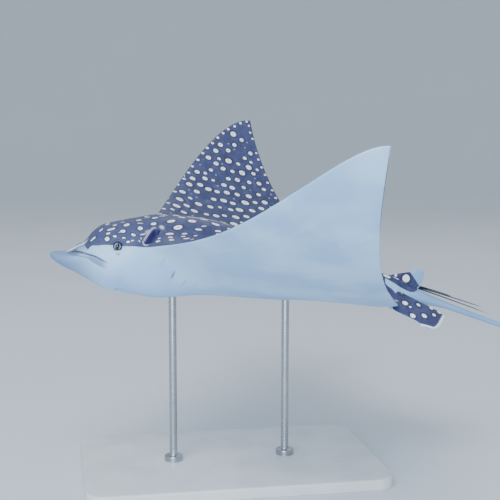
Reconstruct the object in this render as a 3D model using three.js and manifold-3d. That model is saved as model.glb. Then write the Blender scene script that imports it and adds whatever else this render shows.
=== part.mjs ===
// Spotted eagle ray, life size, gliding with raised wings on a plain display stand.
// Millimetres, +Z up. The head points to -X, the animal's left side to -Y, and the
// origin is the middle of the underside of the stand's base.
//
// The ray is one closed loft, from the snout to the tip of the tail. It is made in
// its own body frame: x back from the snout, y to its right, z up. The loft is then
// parted into head, trunk, wings and tail lengths by thin cuts.
import * as THREE from 'three';
import { mergeVertices } from 'three/addons/utils/BufferGeometryUtils.js';
import Module from 'manifold-3d';

const wasm = await Module();
wasm.setup();

// ---------------------------------------------------------------- driving sizes

const DISC_HALF_WIDTH = 700;
const SNOUT = 9.5;
const TAIL_TIP = 3350;
const GAP = 0.3;

// Cross-sections of head, trunk and tail without the wings, one row for each place
// where the form changes: distance from the snout, half width, top, underside, and
// the height of the line where the two meet at the side.
const SECTIONS = [
  { x: SNOUT, half: 8, top: -38, under: -45, side: -41.5 },
  { x: 13, half: 19, top: -35.5, under: -48, side: -41 },
  { x: 29, half: 42, top: -33.5, under: -56, side: -40 },
  { x: 46, half: 55, top: -26, under: -62, side: -36 },
  { x: 60, half: 62, top: -15.5, under: -66, side: -28 },
  { x: 72, half: 67, top: -7, under: -70.5, side: -20 },
  { x: 86, half: 72, top: 18.5, under: -75.5, side: -11 },
  { x: 103, half: 78, top: 36, under: -82, side: -4 },
  { x: 128, half: 87, top: 47.5, under: -89.5, side: 6 },
  { x: 170, half: 94, top: 63.5, under: -91.5, side: 10 },
  { x: 220, half: 102, top: 78, under: -87, side: 10 },
  { x: 320, half: 116, top: 86, under: -67, side: 6 },
  { x: 480, half: 105, top: 61, under: -49.5, side: -2 },
  { x: 620, half: 74, top: 44, under: -27.5, side: -1 },
  { x: 720, half: 42, top: 40.5, under: -24.5, side: 2 },
  { x: 790, half: 20, top: 29, under: -3, side: 12 },
  { x: 825, half: 13, top: 24.5, under: 4.5, side: 14.5 },
  { x: 871, half: 7.5, top: 21.5, under: 8.5, side: 15 },
  { x: 990, half: 4.6, top: 17, under: 7.8, side: 12.5 },
  { x: TAIL_TIP, half: 1.2, top: 12.2, under: 9.8, side: 11 },
];

// The wing seen from above: control points of its leading and trailing edges.
const WING = {
  root: [150, 90.5],
  leading: [[215, 99], [222, 283], [355, 681]],
  tip: [469, DISC_HALF_WIDTH],
  trailing: [[524, 391], [709, 175]],
  rear: [741, 40],
};
const WING_SWEEP = 0.22;        // how far the loft's stations lean back towards the tip
const SWEEP_START = 100;
const SWEEP_SPAN = 600;
const WING_CHORD_Z = [           // height of the wing's middle plane at its root
  { x: 190, z: 0 },
  { x: 320, z: -31 },
  { x: 480, z: -27 },
  { x: 720, z: -18 },
];
const WING_SKIN = { upper: 16, lower: 14 };   // half thickness beside the body
const RIM = 0.6;                              // half thickness of every thin edge

// The stroke: the wing's slope in degrees along its span is a + b f + c f².
const STROKE = {
  left: { a: 18.4, b: -30.1, c: 76.8, twist: -0.5 },
  right: { a: 12.2, b: 44.4, c: -7.2, twist: 2 },
};
const STROKE_START = 80;
const STROKE_SPAN = 620;
const TWIST_AXIS = 520;

// Downward slope of the tail against the body, in degrees.
const TAIL_SLOPE = [
  { x: 640, deg: 0 },
  { x: 820, deg: 8 },
  { x: 1150, deg: 8 },
  { x: 1750, deg: -10.5 },
  { x: TAIL_TIP, deg: -13 },
];
const TAIL_START = 600;

const PITCH = 11.23;            // nose up, degrees
const PIVOT_X = 350;            // body x that stands over PIVOT
const PIVOT = { x: -24, z: 440 };

// Where the loft is parted.
const WING_CUT = 122;
const NECK_CUT = 222;
const TAIL_CUTS = [752, 1080, 1650, 2450];
const LOBE_CUT = { x: 40, z: -33, slope: 24, back: 100 };

const EYE = { x: 132.2, y: 80, z: 7.3, radius: 11 };
const SPIRACLE = { x: 194, y: 98.3, length: 46, width: 21, depth: 28, tilt: 42 };
const MOUTH = { x: 145, width: 91, gape: 3.2, depth: 9 };
const GILLS = { count: 5, first: 219, step: 24, y: 142.5, inward: 3, length: 26, gape: 1.6, depth: 8 };

const PELVIC = {
  baseFront: 713.5, baseRear: 753, pivotX: 718.5, y: 30.4, z: 7, span: 90, droop: 28.6, pitch: -2.2,
  shoulder: 6, frontSweep: 54.5, rearSweep: 90, half: 6, thin: 1.4,
};
const DORSAL = {
  front: 700, rear: 786, lobe: 793, foot: 14, height: 57, half: 3.6,
  keelSlope: 37.5, lobeSlope: 88, lobeFrom: 0.46, lobeSpan: 0.36, corner: 10,
};
const STINGS = [
  { name: 'sting_long', from: 790, length: 172, lift: 0.4, slope: 2.6, width: 7.5 },
  { name: 'sting_middle', from: 791, length: 158, lift: 3.2, slope: 5, width: 7 },
  { name: 'sting_short', from: 792, length: 80, lift: 6, slope: 6.2, width: 6 },
];
const STING_THICK = 2.4;

const BASE = { length: 620, width: 400, thick: 22, corner: 40 };
const RODS = [
  { name: 'stand_rod_front', x: -120 },
  { name: 'stand_rod_rear', x: 120 },
];
const ROD_RADIUS = 8;
const ROD_INTO_BODY = 24;

// ---------------------------------------------------------------- small helpers

const radians = THREE.MathUtils.degToRad;
const smooth = (from, to, x) => THREE.MathUtils.smoothstep(x, from, to);

/** Value of a table's column at x, by a monotone cubic through its rows. */
function tableValue(rows, key, x) {
  const last = rows.length - 1;
  const at = THREE.MathUtils.clamp(x, rows[0].x, rows[last].x);
  let i = 0;
  while (i < last - 1 && rows[i + 1].x < at) i += 1;
  const rise = (k) => (rows[k + 1][key] - rows[k][key]) / (rows[k + 1].x - rows[k].x);
  const tangent = (k) => {
    if (k === 0) return rise(0);
    if (k === last) return rise(last - 1);
    const before = rise(k - 1);
    const after = rise(k);
    if (before * after <= 0) return 0;
    const a = rows[k].x - rows[k - 1].x;
    const b = rows[k + 1].x - rows[k].x;
    return 3 * (a + b) / ((2 * b + a) / before + (2 * a + b) / after);
  };
  const h = rows[i + 1].x - rows[i].x;
  const t = (at - rows[i].x) / h;
  const t2 = t * t;
  const t3 = t2 * t;
  return (2 * t3 - 3 * t2 + 1) * rows[i][key] + (t3 - 2 * t2 + t) * h * tangent(i)
    + (3 * t2 - 2 * t3) * rows[i + 1][key] + (t3 - t2) * h * tangent(i + 1);
}

/** Value at x of a rising list of x and its list of y, straight between them. */
function listValue(xs, ys, x) {
  if (x <= xs[0]) return ys[0];
  let low = 0;
  let high = xs.length - 1;
  if (x >= xs[high]) return ys[high];
  while (high - low > 1) {
    const middle = (low + high) >> 1;
    if (xs[middle] <= x) low = middle;
    else high = middle;
  }
  const t = (x - xs[low]) / (xs[high] - xs[low]);
  return ys[low] + t * (ys[high] - ys[low]);
}

/** Points of the Bezier curve with these control points. */
function bezier(controls, count) {
  const points = [];
  for (let i = 0; i <= count; i += 1) {
    const t = i / count;
    let level = controls.map((p) => p.slice());
    while (level.length > 1) {
      level = level.slice(1).map((p, k) => [
        level[k][0] + t * (p[0] - level[k][0]),
        level[k][1] + t * (p[1] - level[k][1]),
      ]);
    }
    points.push(level[0]);
  }
  return points;
}

/** Closed geometry through rings of equally many points, with both ends capped. */
function loft(rings) {
  const around = rings[0].length;
  const positions = rings.flat().flatMap((p) => [p.x, p.y, p.z]);
  const index = [];
  for (let i = 0; i + 1 < rings.length; i += 1) {
    for (let j = 0; j < around; j += 1) {
      const k = (j + 1) % around;
      const a = i * around + j;
      const b = i * around + k;
      const c = a + around;
      const d = b + around;
      index.push(a, b, c, b, d, c);
    }
  }
  for (const [start, flip] of [[0, false], [(rings.length - 1) * around, true]]) {
    const ring = positions.length / 3;
    const middle = new THREE.Vector3();
    for (let j = 0; j < around; j += 1) {
      middle.add(rings[start / around][j]);
    }
    middle.divideScalar(around);
    positions.push(middle.x, middle.y, middle.z);
    for (let j = 0; j < around; j += 1) {
      const a = start + j;
      const b = start + (j + 1) % around;
      index.push(ring, flip ? a : b, flip ? b : a);
    }
  }
  const geometry = new THREE.BufferGeometry();
  geometry.setAttribute('position', new THREE.Float32BufferAttribute(positions, 3));
  geometry.setIndex(index);
  return geometry;
}

/** Solid for joins and cuts from a closed geometry, turned outwards if need be. */
function toSolid(geometry) {
  const bare = geometry.clone();
  bare.deleteAttribute('normal');
  bare.deleteAttribute('uv');
  const merged = mergeVertices(bare, 1e-4);
  const place = merged.attributes.position;
  const faces = Uint32Array.from(merged.index.array);
  let volume = 0;
  for (let i = 0; i < faces.length; i += 3) {
    const [a, b, c] = [0, 1, 2].map((k) => new THREE.Vector3().fromBufferAttribute(place, faces[i + k]));
    volume += a.dot(b.cross(c));
  }
  if (volume < 0) {
    for (let i = 0; i < faces.length; i += 3) {
      [faces[i + 1], faces[i + 2]] = [faces[i + 2], faces[i + 1]];
    }
  }
  const mesh = new wasm.Mesh({
    numProp: 3,
    vertProperties: Float32Array.from(place.array),
    triVerts: faces,
  });
  return new wasm.Manifold(mesh);
}

function toGeometry(solid) {
  const mesh = solid.getMesh();
  const geometry = new THREE.BufferGeometry();
  const positions = new Float32Array(mesh.vertProperties);
  geometry.setAttribute('position', new THREE.BufferAttribute(positions, 3));
  geometry.setIndex(new THREE.BufferAttribute(new Uint32Array(mesh.triVerts), 1));
  return geometry;
}

function finish(colour, roughness, metalness = 0) {
  return new THREE.MeshStandardMaterial({ color: colour, roughness, metalness, flatShading: true });
}

// ---------------------------------------------------------------- the ray's form

const sweep = (y) => WING_SWEEP * Math.max(0, Math.abs(y) - SWEEP_START) ** 1.5 / SWEEP_SPAN ** 0.5;

/** Half width of the whole ray at each station, out to the edge of the wing. */
function makeOutline() {
  const edge = [
    ...bezier([WING.root, ...WING.leading, WING.tip], 90),
    ...bezier([WING.tip, ...WING.trailing, WING.rear], 90).slice(1),
  ];
  const stations = [];
  const widths = [];
  let furthest = 0;
  for (const [x, y] of edge) {
    furthest = Math.max(furthest, x - sweep(y));
    stations.push(furthest);
    widths.push(y);
  }
  return { stations, widths };
}

const outline = makeOutline();
const TIP_STATION = WING.tip[0] - sweep(WING.tip[1]);

function halfWidths(x) {
  const body = tableValue(SECTIONS, 'half', x);
  const inWing = x >= outline.stations[0] && x <= outline.stations.at(-1);
  const wing = inWing ? listValue(outline.stations, outline.widths, x) : 0;
  return { body, whole: Math.max(body, wing) };
}

/** Point of the skin: station x, a from 0 at the middle to 1 at the edge, above or below. */
function skinPoint(x, a, side, up) {
  const { body, whole } = halfWidths(x);
  const spread = ((1 - Math.cos(Math.PI * a)) / 2) ** 2.5;
  const y = body * Math.sin(Math.PI * a / 2) + (whole - body) * spread;
  const q = y / body;
  const r = Math.min(1, y / whole);
  const front = smooth(150, 270, x);
  const wing = front * (1 - smooth(660, 740, x));
  const shoulder = smooth(120, 170, x) * (1 - smooth(740, 800, x));
  const bluntness = 0.5 + 0.35 * smooth(TIP_STATION - 20, TIP_STATION + 120, x) * wing;
  const edge = Math.max(0, 1 - r ** 2.3) ** bluntness;
  const slack = up ? 1.2 * smooth(150, 260, x) : smooth(170, 320, x);
  const bell = 1 - shoulder + shoulder / (1 + (q / (1.15 - 0.1 * slack)) ** (8 - 4 * slack));
  const outward = 1 - 0.85 * Math.min(1, y / DISC_HALF_WIDTH);
  const fullness = wing * (1 - 0.45 * smooth(350, 700, x));
  const chord = tableValue(WING_CHORD_Z, 'z', x) * smooth(0.3, 1.3, q) * front
    * (1 - smooth(700, 780, x)) * (1 - smooth(150, 600, y));
  const line = tableValue(SECTIONS, 'side', x);
  const top = tableValue(SECTIONS, 'top', x) - line - WING_SKIN.upper * fullness;
  const under = line - tableValue(SECTIONS, 'under', x) - WING_SKIN.lower * fullness;
  const above = edge * (top * bell + WING_SKIN.upper * fullness * outward) + RIM;
  const below = edge * ((under + 0.9 * chord) * bell + WING_SKIN.lower * fullness * outward) + RIM;
  const z = line + chord + (up ? above : -below);
  return new THREE.Vector3(x + sweep(y), side * y, z);
}

/** Running sums of cos and sin of an angle, for laying a length along a bend. */
function bendTable(from, to, steps, angleAt) {
  const at = [from];
  const along = [0];
  const across = [0];
  const angle = [angleAt(from)];
  const step = (to - from) / steps;
  for (let i = 1; i <= steps; i += 1) {
    along.push(along[i - 1] + Math.cos(angle[i - 1]) * step);
    across.push(across[i - 1] + Math.sin(angle[i - 1]) * step);
    at.push(from + i * step);
    angle.push(angleAt(at[i]));
  }
  return { at, along, across, angle };
}

function strokeTable({ a, b, c }) {
  return bendTable(0, 720, 360, (y) => {
    const f = THREE.MathUtils.clamp((y - STROKE_START) / STROKE_SPAN, 0, 1);
    return radians(a + b * f + c * f * f) * smooth(30, 160, y);
  });
}

const strokes = { left: strokeTable(STROKE.left), right: strokeTable(STROKE.right) };
const tailBend = bendTable(TAIL_START, 3400, 1400, (x) => radians(tableValue(TAIL_SLOPE, 'deg', x)));

/** Raises the wings: y is laid along the bend, z stays square to it. */
function bendWing(p) {
  const left = p.y < 0;
  const stroke = left ? strokes.left : strokes.right;
  const { twist } = left ? STROKE.left : STROKE.right;
  const y = Math.abs(p.y);
  const angle = listValue(stroke.at, stroke.angle, y);
  const f = THREE.MathUtils.clamp((y - STROKE_START) / STROKE_SPAN, 0, 1);
  const out = listValue(stroke.at, stroke.along, y) - p.z * Math.sin(angle);
  const lift = listValue(stroke.at, stroke.across, y) + p.z * Math.cos(angle);
  const turned = Math.tan(radians(twist)) * f * f * (p.x - TWIST_AXIS) * Math.cos(angle);
  return new THREE.Vector3(p.x, left ? -out : out, lift - turned);
}

/** Lays what is at station x along the bent line of the tail. */
function bendTail(p, x) {
  if (x <= TAIL_START) return p;
  const angle = listValue(tailBend.at, tailBend.angle, x);
  const ahead = p.x - x;
  const along = TAIL_START + listValue(tailBend.at, tailBend.along, x);
  return new THREE.Vector3(
    along + ahead * Math.cos(angle) + p.z * Math.sin(angle),
    p.y,
    p.z * Math.cos(angle) - ahead * Math.sin(angle) - listValue(tailBend.at, tailBend.across, x),
  );
}

/** Places from one station to another, spaced by a density. */
function stationList(from, to, count, density) {
  const places = [from];
  const sums = [0];
  for (let x = from; x < to; x += 1) {
    places.push(Math.min(to, x + 1));
    sums.push(sums.at(-1) + density(x));
  }
  const list = [];
  for (let i = 0; i < count; i += 1) {
    list.push(listValue(sums, places, sums.at(-1) * i / (count - 1)));
  }
  return list;
}

/** Denser at the snout, on the head and at the wing's tip. */
function bodyDensity(x) {
  const head = x < 260 ? 0.5 : 0;
  return 1 + head + 4 * Math.exp(-(x - SNOUT) / 8) + 3 * Math.exp(-(((x - TIP_STATION) / 14) ** 2));
}

/** Loft of the skin through stations, with n points on each quarter of a ring. */
function skinLoft(list, n) {
  const rings = list.map((x) => {
    const ring = [];
    for (let i = -n; i <= n; i += 1) ring.push(skinPoint(x, Math.abs(i) / n, Math.sign(i), true));
    for (let i = n; i >= -n; i -= 1) ring.push(skinPoint(x, Math.abs(i) / n, Math.sign(i), false));
    return ring.map((p) => bendTail(bendWing(p), x));
  });
  return toSolid(loft(rings));
}

/** Place of the skin at a station and a distance from the middle. */
function skinAt(x, y, side, up) {
  let low = 0;
  let high = 1;
  for (let i = 0; i < 30; i += 1) {
    const middle = (low + high) / 2;
    if (skinPoint(x, middle, 1, up).y < y) low = middle;
    else high = middle;
  }
  return bendTail(bendWing(skinPoint(x, low, side, up)), x);
}

/** Frame on the skin: origin there, X back along it, Z square out of it. */
function skinFrame(x, y, side, up) {
  const place = skinAt(x, y, side, up);
  const back = skinAt(x + 2, y, side, up).sub(place).normalize();
  const out = skinAt(x, y + 1, side, up).sub(place);
  const normal = new THREE.Vector3().crossVectors(back, out).normalize();
  if (normal.z * (up ? 1 : -1) < 0) normal.negate();
  const across = new THREE.Vector3().crossVectors(normal, back);
  return new THREE.Matrix4().makeBasis(back, across, normal).setPosition(place);
}

// ---------------------------------------------------------------- fins and stings

/** Lens-shaped ring of one cross-section of a fin, from its front to its rear edge. */
function lens(front, rear, normal, half, count) {
  const ring = [];
  const place = (t, side) => {
    const swell = half * Math.sqrt(Math.max(0, 1 - (2 * t - 1) ** 2)) + RIM;
    return front.clone().lerp(rear, t).addScaledVector(normal, side * swell);
  };
  for (let i = 0; i <= count; i += 1) ring.push(place((1 - Math.cos(Math.PI * i / count)) / 2, 1));
  for (let i = count; i >= 0; i -= 1) ring.push(place((1 - Math.cos(Math.PI * i / count)) / 2, -1));
  return ring;
}

/** Pelvic fin: a drooping strap that starts beside the tail's root. */
function pelvicFin(side) {
  const rings = [];
  const steps = 9;
  const droop = radians(PELVIC.droop);
  const pitch = radians(PELVIC.pitch);
  for (let i = 0; i <= steps; i += 1) {
    const s = i / steps;
    const out = PELVIC.span * s;
    const corner = 1 - Math.sqrt(Math.max(0, 1 - Math.max(0, (s - 0.72) / 0.28) ** 2));
    const swept = PELVIC.shoulder * smooth(0.3, 0.65, s) + PELVIC.frontSweep * smooth(0.62, 0.92, s);
    const frontX = PELVIC.baseFront + swept + 8 * corner;
    const tuck = 26 * Math.max(0, s - 0.4) / 0.6 + 12 * corner;
    const rearX = PELVIC.baseRear + PELVIC.rearSweep * smooth(-0.1, 0.38, s) - tuck;
    const place = (x) => {
      const back = x - PELVIC.pivotX;
      const y = PELVIC.y + out * Math.cos(droop);
      const z = PELVIC.z - out * Math.sin(droop) - back * Math.sin(pitch);
      return bendTail(new THREE.Vector3(x, side * y, z), x);
    };
    const normal = new THREE.Vector3(0, side * Math.sin(droop), Math.cos(droop));
    const half = PELVIC.half * (1 - s) ** 1.5 + PELVIC.thin;
    rings.push(lens(place(frontX), place(rearX), normal, half, 6));
  }
  return toSolid(loft(rings));
}

/** Dorsal fin: low and rounded, its rear lobe free above the stings. */
function dorsalFin() {
  const rings = [];
  const steps = 12;
  for (let i = 0; i <= steps; i += 1) {
    const s = i / steps;
    const height = DORSAL.foot + DORSAL.height * s;
    const round = 1 - Math.sqrt(Math.max(0, 1 - Math.max(0, (s - 0.7) / 0.3) ** 2));
    const inLobe = THREE.MathUtils.clamp(s - DORSAL.lobeFrom, 0, DORSAL.lobeSpan);
    const front = DORSAL.front + DORSAL.keelSlope * s + DORSAL.lobeSlope * inLobe;
    const rear = DORSAL.rear + (DORSAL.lobe - DORSAL.rear) * smooth(0.2, 0.6, s) - DORSAL.corner * round;
    const place = (x) => bendTail(new THREE.Vector3(x, 0, height), x);
    rings.push(lens(place(front), place(rear), new THREE.Vector3(0, 1, 0), DORSAL.half * (1 - 0.5 * s), 6));
  }
  return toSolid(loft(rings));
}

/** One sting: a flat spear with a row of small barbs down each edge. */
function sting({ from, length, lift, slope, width }) {
  const teeth = Math.round(length / 14);
  const shape = new THREE.Shape();
  const halfAt = (t) => width / 2 * (1 - 0.25 * t) * Math.min(1, (1 - t) * 5) + 0.4;
  const edge = [];
  for (let i = 0; i < teeth; i += 1) {
    const t = 0.18 + 0.8 * i / teeth;
    edge.push([t, halfAt(t)], [t + 0.72 / teeth, halfAt(t) - 0.7]);
  }
  shape.moveTo(0, -halfAt(0));
  edge.forEach(([t, half]) => shape.lineTo(t * length, -half));
  shape.lineTo(length, 0);
  edge.reverse().forEach(([t, half]) => shape.lineTo(t * length, half));
  shape.lineTo(0, halfAt(0));
  const blade = new THREE.ExtrudeGeometry(shape, { depth: STING_THICK, bevelEnabled: false });
  const foot = bendTail(new THREE.Vector3(from, 0, tableValue(SECTIONS, 'top', from) + RIM + lift), from);
  const ahead = from + length;
  const tip = bendTail(new THREE.Vector3(ahead, 0, tableValue(SECTIONS, 'top', ahead) + RIM + lift), ahead);
  blade.rotateY(Math.atan2(foot.z - tip.z, tip.x - foot.x) - radians(slope));
  blade.translate(foot.x, foot.y, foot.z);
  return blade;
}

// ---------------------------------------------------------------- cutting tools

/** A box as a solid, turned about its middle and set at a place. */
function boxTool(size, place, turn = [0, 0, 0]) {
  const box = new THREE.BoxGeometry(...size);
  const matrix = new THREE.Matrix4().compose(
    new THREE.Vector3(...place),
    new THREE.Quaternion().setFromEuler(new THREE.Euler(...turn.map(radians))),
    new THREE.Vector3(1, 1, 1),
  );
  return toSolid(box.applyMatrix4(matrix));
}

/** Long opening behind each eye, leaning back at its top. */
function spiracleTool(side) {
  const bean = new THREE.SphereGeometry(0.5, 10, 7);
  bean.scale(SPIRACLE.length, SPIRACLE.width, SPIRACLE.depth);
  bean.rotateZ(-side * radians(SPIRACLE.tilt));
  return toSolid(bean.applyMatrix4(skinFrame(SPIRACLE.x, SPIRACLE.y, side, true)));
}

function eyeBall(side, radius) {
  const ball = new THREE.SphereGeometry(radius, 14, 9);
  ball.rotateX(Math.PI / 2);
  ball.translate(EYE.x, side * EYE.y, EYE.z);
  return ball;
}

function undersideAt(x) {
  return tableValue(SECTIONS, 'under', x);
}

/** Mouth: a shallow slit across the underside behind the lobe. */
function mouthTool() {
  return boxTool([MOUTH.gape, MOUTH.width, MOUTH.depth * 2], [MOUTH.x, 0, undersideAt(MOUTH.x) - 1]);
}

/** Five gill slits on each side of the underside. */
function gillTools() {
  const tools = [];
  for (let i = 0; i < GILLS.count; i += 1) {
    for (const side of [-1, 1]) {
      const slit = new THREE.BoxGeometry(GILLS.gape, GILLS.length, GILLS.depth);
      slit.rotateZ(-side * radians(14));
      const place = skinFrame(GILLS.first + GILLS.step * i, GILLS.y - GILLS.inward * i, side, false);
      tools.push(toSolid(slit.applyMatrix4(place)));
    }
  }
  return tools;
}

// ---------------------------------------------------------------- parting the ray

/** What of a solid lies between two places along one axis, less half the gap. */
function between(solid, axis, from, to) {
  const flip = axis.map((v) => -v);
  let piece = solid;
  if (from !== null) piece = piece.trimByPlane(axis, from + GAP / 2);
  if (to !== null) piece = piece.trimByPlane(flip, -(to - GAP / 2));
  return piece;
}

const ALONG = [1, 0, 0];
const ACROSS = [0, 1, 0];

/** World place of the stand's rods seen from the body frame, for their sockets. */
function bodyFrame() {
  const group = new THREE.Group();
  group.rotation.y = radians(PITCH);
  const pivot = new THREE.Vector3(PIVOT_X, 0, 0).applyEuler(group.rotation);
  group.position.set(PIVOT.x, 0, PIVOT.z).sub(pivot);
  group.updateMatrixWorld(true);
  return group;
}

const ray = bodyFrame();
const toBody = ray.matrixWorld.clone().invert();

/** Body-frame height where the underside is met above a place on the base. */
function bellyAbove(worldX) {
  let worldZ = BASE.thick;
  for (let z = 200; z < PIVOT.z + 60; z += 0.5) {
    const p = new THREE.Vector3(worldX, 0, z).applyMatrix4(toBody);
    if (p.z > undersideAt(p.x) - RIM) {
      worldZ = z;
      break;
    }
  }
  return worldZ;
}

function rodGeometry(rod, radius, extra) {
  const top = bellyAbove(rod.x) + ROD_INTO_BODY + extra;
  const rodBar = new THREE.CylinderGeometry(radius, radius, top - BASE.thick - GAP, 24);
  rodBar.rotateX(Math.PI / 2);
  rodBar.translate(rod.x, 0, (top + BASE.thick + GAP) / 2);
  return rodBar;
}

function partRay() {
  const bodyStations = stationList(SNOUT, TAIL_CUTS[0] + 8, 47, bodyDensity);
  const bare = skinLoft(bodyStations, 8);
  const tail = skinLoft(stationList(TAIL_CUTS[0] - 8, TAIL_TIP, 28, (x) => 40 / (x - 640)), 3);
  let whole = bare;
  for (const side of [-1, 1]) {
    whole = whole.subtract(toSolid(eyeBall(side, EYE.radius + GAP)));
    whole = whole.subtract(spiracleTool(side));
  }
  whole = whole.subtract(mouthTool());
  for (const tool of gillTools()) whole = whole.subtract(tool);
  for (const rod of RODS) {
    const socket = rodGeometry(rod, ROD_RADIUS + 0.4, 0.4);
    whole = whole.subtract(toSolid(socket.applyMatrix4(toBody)));
  }
  const middle = between(whole, ACROSS, -WING_CUT, WING_CUT);
  const front = between(middle, ALONG, null, NECK_CUT);
  const lobeBox = boxTool([400, 400, 400], [
    LOBE_CUT.x - 200 * Math.sin(radians(LOBE_CUT.slope)),
    0,
    LOBE_CUT.z - 200 * Math.cos(radians(LOBE_CUT.slope)),
  ], [0, LOBE_CUT.slope, 0]);
  const lobeFront = between(front, ALONG, null, LOBE_CUT.back);
  const lobe = lobeFront.intersect(lobeBox);
  const lobeWide = boxTool([400, 400, 400], [
    LOBE_CUT.x - (200 - GAP) * Math.sin(radians(LOBE_CUT.slope)),
    0,
    LOBE_CUT.z - (200 - GAP) * Math.cos(radians(LOBE_CUT.slope)),
  ], [0, LOBE_CUT.slope, 0]);
  const lobeSpace = between(lobeWide, ALONG, null, LOBE_CUT.back + GAP * 1.5);
  const head = front.subtract(lobeSpace);
  const solids = {
    rostral_lobe: lobe,
    head,
    trunk: between(middle, ALONG, NECK_CUT, TAIL_CUTS[0]),
    left_wing: between(whole, ACROSS, null, -WING_CUT),
    right_wing: between(whole, ACROSS, WING_CUT, null),
  };
  TAIL_CUTS.forEach((from, i) => {
    const to = TAIL_CUTS[i + 1] ?? null;
    solids[`tail_${i + 1}`] = between(tail, ALONG, from, to);
  });
  const flesh = bare.add(tail);
  const shifts = [-GAP, 0, GAP].flatMap((y) => [-GAP, 0, GAP].map((z) => [0, y, z]));
  const clear = (fin) => shifts.reduce((left, shift) => left.subtract(flesh.translate(shift)), fin);
  solids.left_pelvic_fin = clear(pelvicFin(-1));
  solids.right_pelvic_fin = clear(pelvicFin(1));
  solids.dorsal_fin = clear(dorsalFin());
  return solids;
}

// ---------------------------------------------------------------- colours

const BACK = finish('#3d4440', 0.5);
const HEAD = finish('#4b5650', 0.48);
const BELLY = finish('#dce6e8', 0.5);
const WING_SKIN_LEFT = finish('#c9d6dc', 0.5);
const WING_SKIN_RIGHT = finish('#46506a', 0.5);
const TAIL = finish('#59616a', 0.5);
const FIN = finish('#4a5058', 0.5);
const STING = finish('#23242c', 0.55);
const EYE_BALL = finish('#101318', 0.12);
const STAND = finish('#cfd2d4', 0.45);
const STEEL = finish('#a9adb0', 0.3, 0.9);

const COLOURS = {
  rostral_lobe: BELLY,
  head: HEAD,
  trunk: BACK,
  left_wing: WING_SKIN_LEFT,
  right_wing: WING_SKIN_RIGHT,
  dorsal_fin: FIN,
  left_pelvic_fin: FIN,
  right_pelvic_fin: FIN,
};

// ---------------------------------------------------------------- assembly

function named(name, geometry, material) {
  const mesh = new THREE.Mesh(geometry, material);
  mesh.name = name;
  return mesh;
}

/** Base plate with rounded upright corners. */
function standBase() {
  const { length, width, corner } = BASE;
  const shape = new THREE.Shape();
  const x = length / 2;
  const y = width / 2;
  shape.moveTo(-x + corner, -y);
  shape.absarc(x - corner, -y + corner, corner, -Math.PI / 2, 0);
  shape.absarc(x - corner, y - corner, corner, 0, Math.PI / 2);
  shape.absarc(-x + corner, y - corner, corner, Math.PI / 2, Math.PI);
  shape.absarc(-x + corner, -y + corner, corner, Math.PI, 1.5 * Math.PI);
  return new THREE.ExtrudeGeometry(shape, { depth: BASE.thick, bevelEnabled: false, curveSegments: 8 });
}

const model = new THREE.Group();
model.add(ray);
for (const [name, solid] of Object.entries(partRay())) {
  ray.add(named(name, toGeometry(solid), COLOURS[name] ?? TAIL));
}
for (const [name, side] of [['left_eye', -1], ['right_eye', 1]]) {
  ray.add(named(name, eyeBall(side, EYE.radius), EYE_BALL));
}
for (const spine of STINGS) ray.add(named(spine.name, sting(spine), STING));
model.add(named('stand_base', standBase(), STAND));
for (const rod of RODS) model.add(named(rod.name, rodGeometry(rod, ROD_RADIUS, 0), STEEL));

export default model;
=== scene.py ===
"""Spotted eagle ray, life size, gliding with raised wings on a plain display stand.

One skin stands for all of the flesh. It is a closed surface worked out from the sizes
of the ray's form, with its folds, pits and slits as relief, and its spots laid out in
rows as on the real skin. Eyes, stings and the stand are pieces of their own.

Metres, +Z up. The head points to -X and the animal's left side to -Y. The body frame
has x back from the snout, y to the animal's right and z up.
"""
import logging
from dataclasses import dataclass, field
from enum import Enum

import bpy
import numpy as np
from mathutils import Matrix, Vector

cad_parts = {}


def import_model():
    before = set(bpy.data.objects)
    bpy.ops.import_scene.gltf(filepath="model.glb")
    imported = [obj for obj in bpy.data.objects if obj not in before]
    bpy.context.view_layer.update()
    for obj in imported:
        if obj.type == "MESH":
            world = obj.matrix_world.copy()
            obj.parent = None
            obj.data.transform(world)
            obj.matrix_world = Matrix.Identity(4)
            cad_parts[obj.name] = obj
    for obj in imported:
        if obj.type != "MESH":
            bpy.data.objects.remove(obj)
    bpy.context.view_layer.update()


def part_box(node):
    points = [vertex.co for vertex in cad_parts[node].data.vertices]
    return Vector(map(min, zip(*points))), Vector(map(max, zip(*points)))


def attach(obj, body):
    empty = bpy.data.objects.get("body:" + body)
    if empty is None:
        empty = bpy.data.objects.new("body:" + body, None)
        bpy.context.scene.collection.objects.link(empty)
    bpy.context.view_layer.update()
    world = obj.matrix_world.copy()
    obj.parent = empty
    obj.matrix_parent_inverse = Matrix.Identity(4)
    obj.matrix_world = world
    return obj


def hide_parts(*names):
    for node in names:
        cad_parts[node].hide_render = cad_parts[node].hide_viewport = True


log = logging.getLogger("eagle_ray")
MM = 0.001


class Side(Enum):
    """Which side of the animal, as the sign of y in the body frame."""

    LEFT = -1
    RIGHT = 1


# ---------------------------------------------------------------- numbers and curves


def smooth(low: float, high: float, x: np.ndarray) -> np.ndarray:
    """Smooth step from 0 at low to 1 at high, 3 t squared - 2 t cubed.

    Args:
        low: Where the step starts.
        high: Where it ends.
        x: Values to look up.

    Returns:
        The step at each value.
    """
    t = np.clip((np.asarray(x, float) - low) / (high - low), 0, 1)
    return t * t * (3 - 2 * t)


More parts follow.
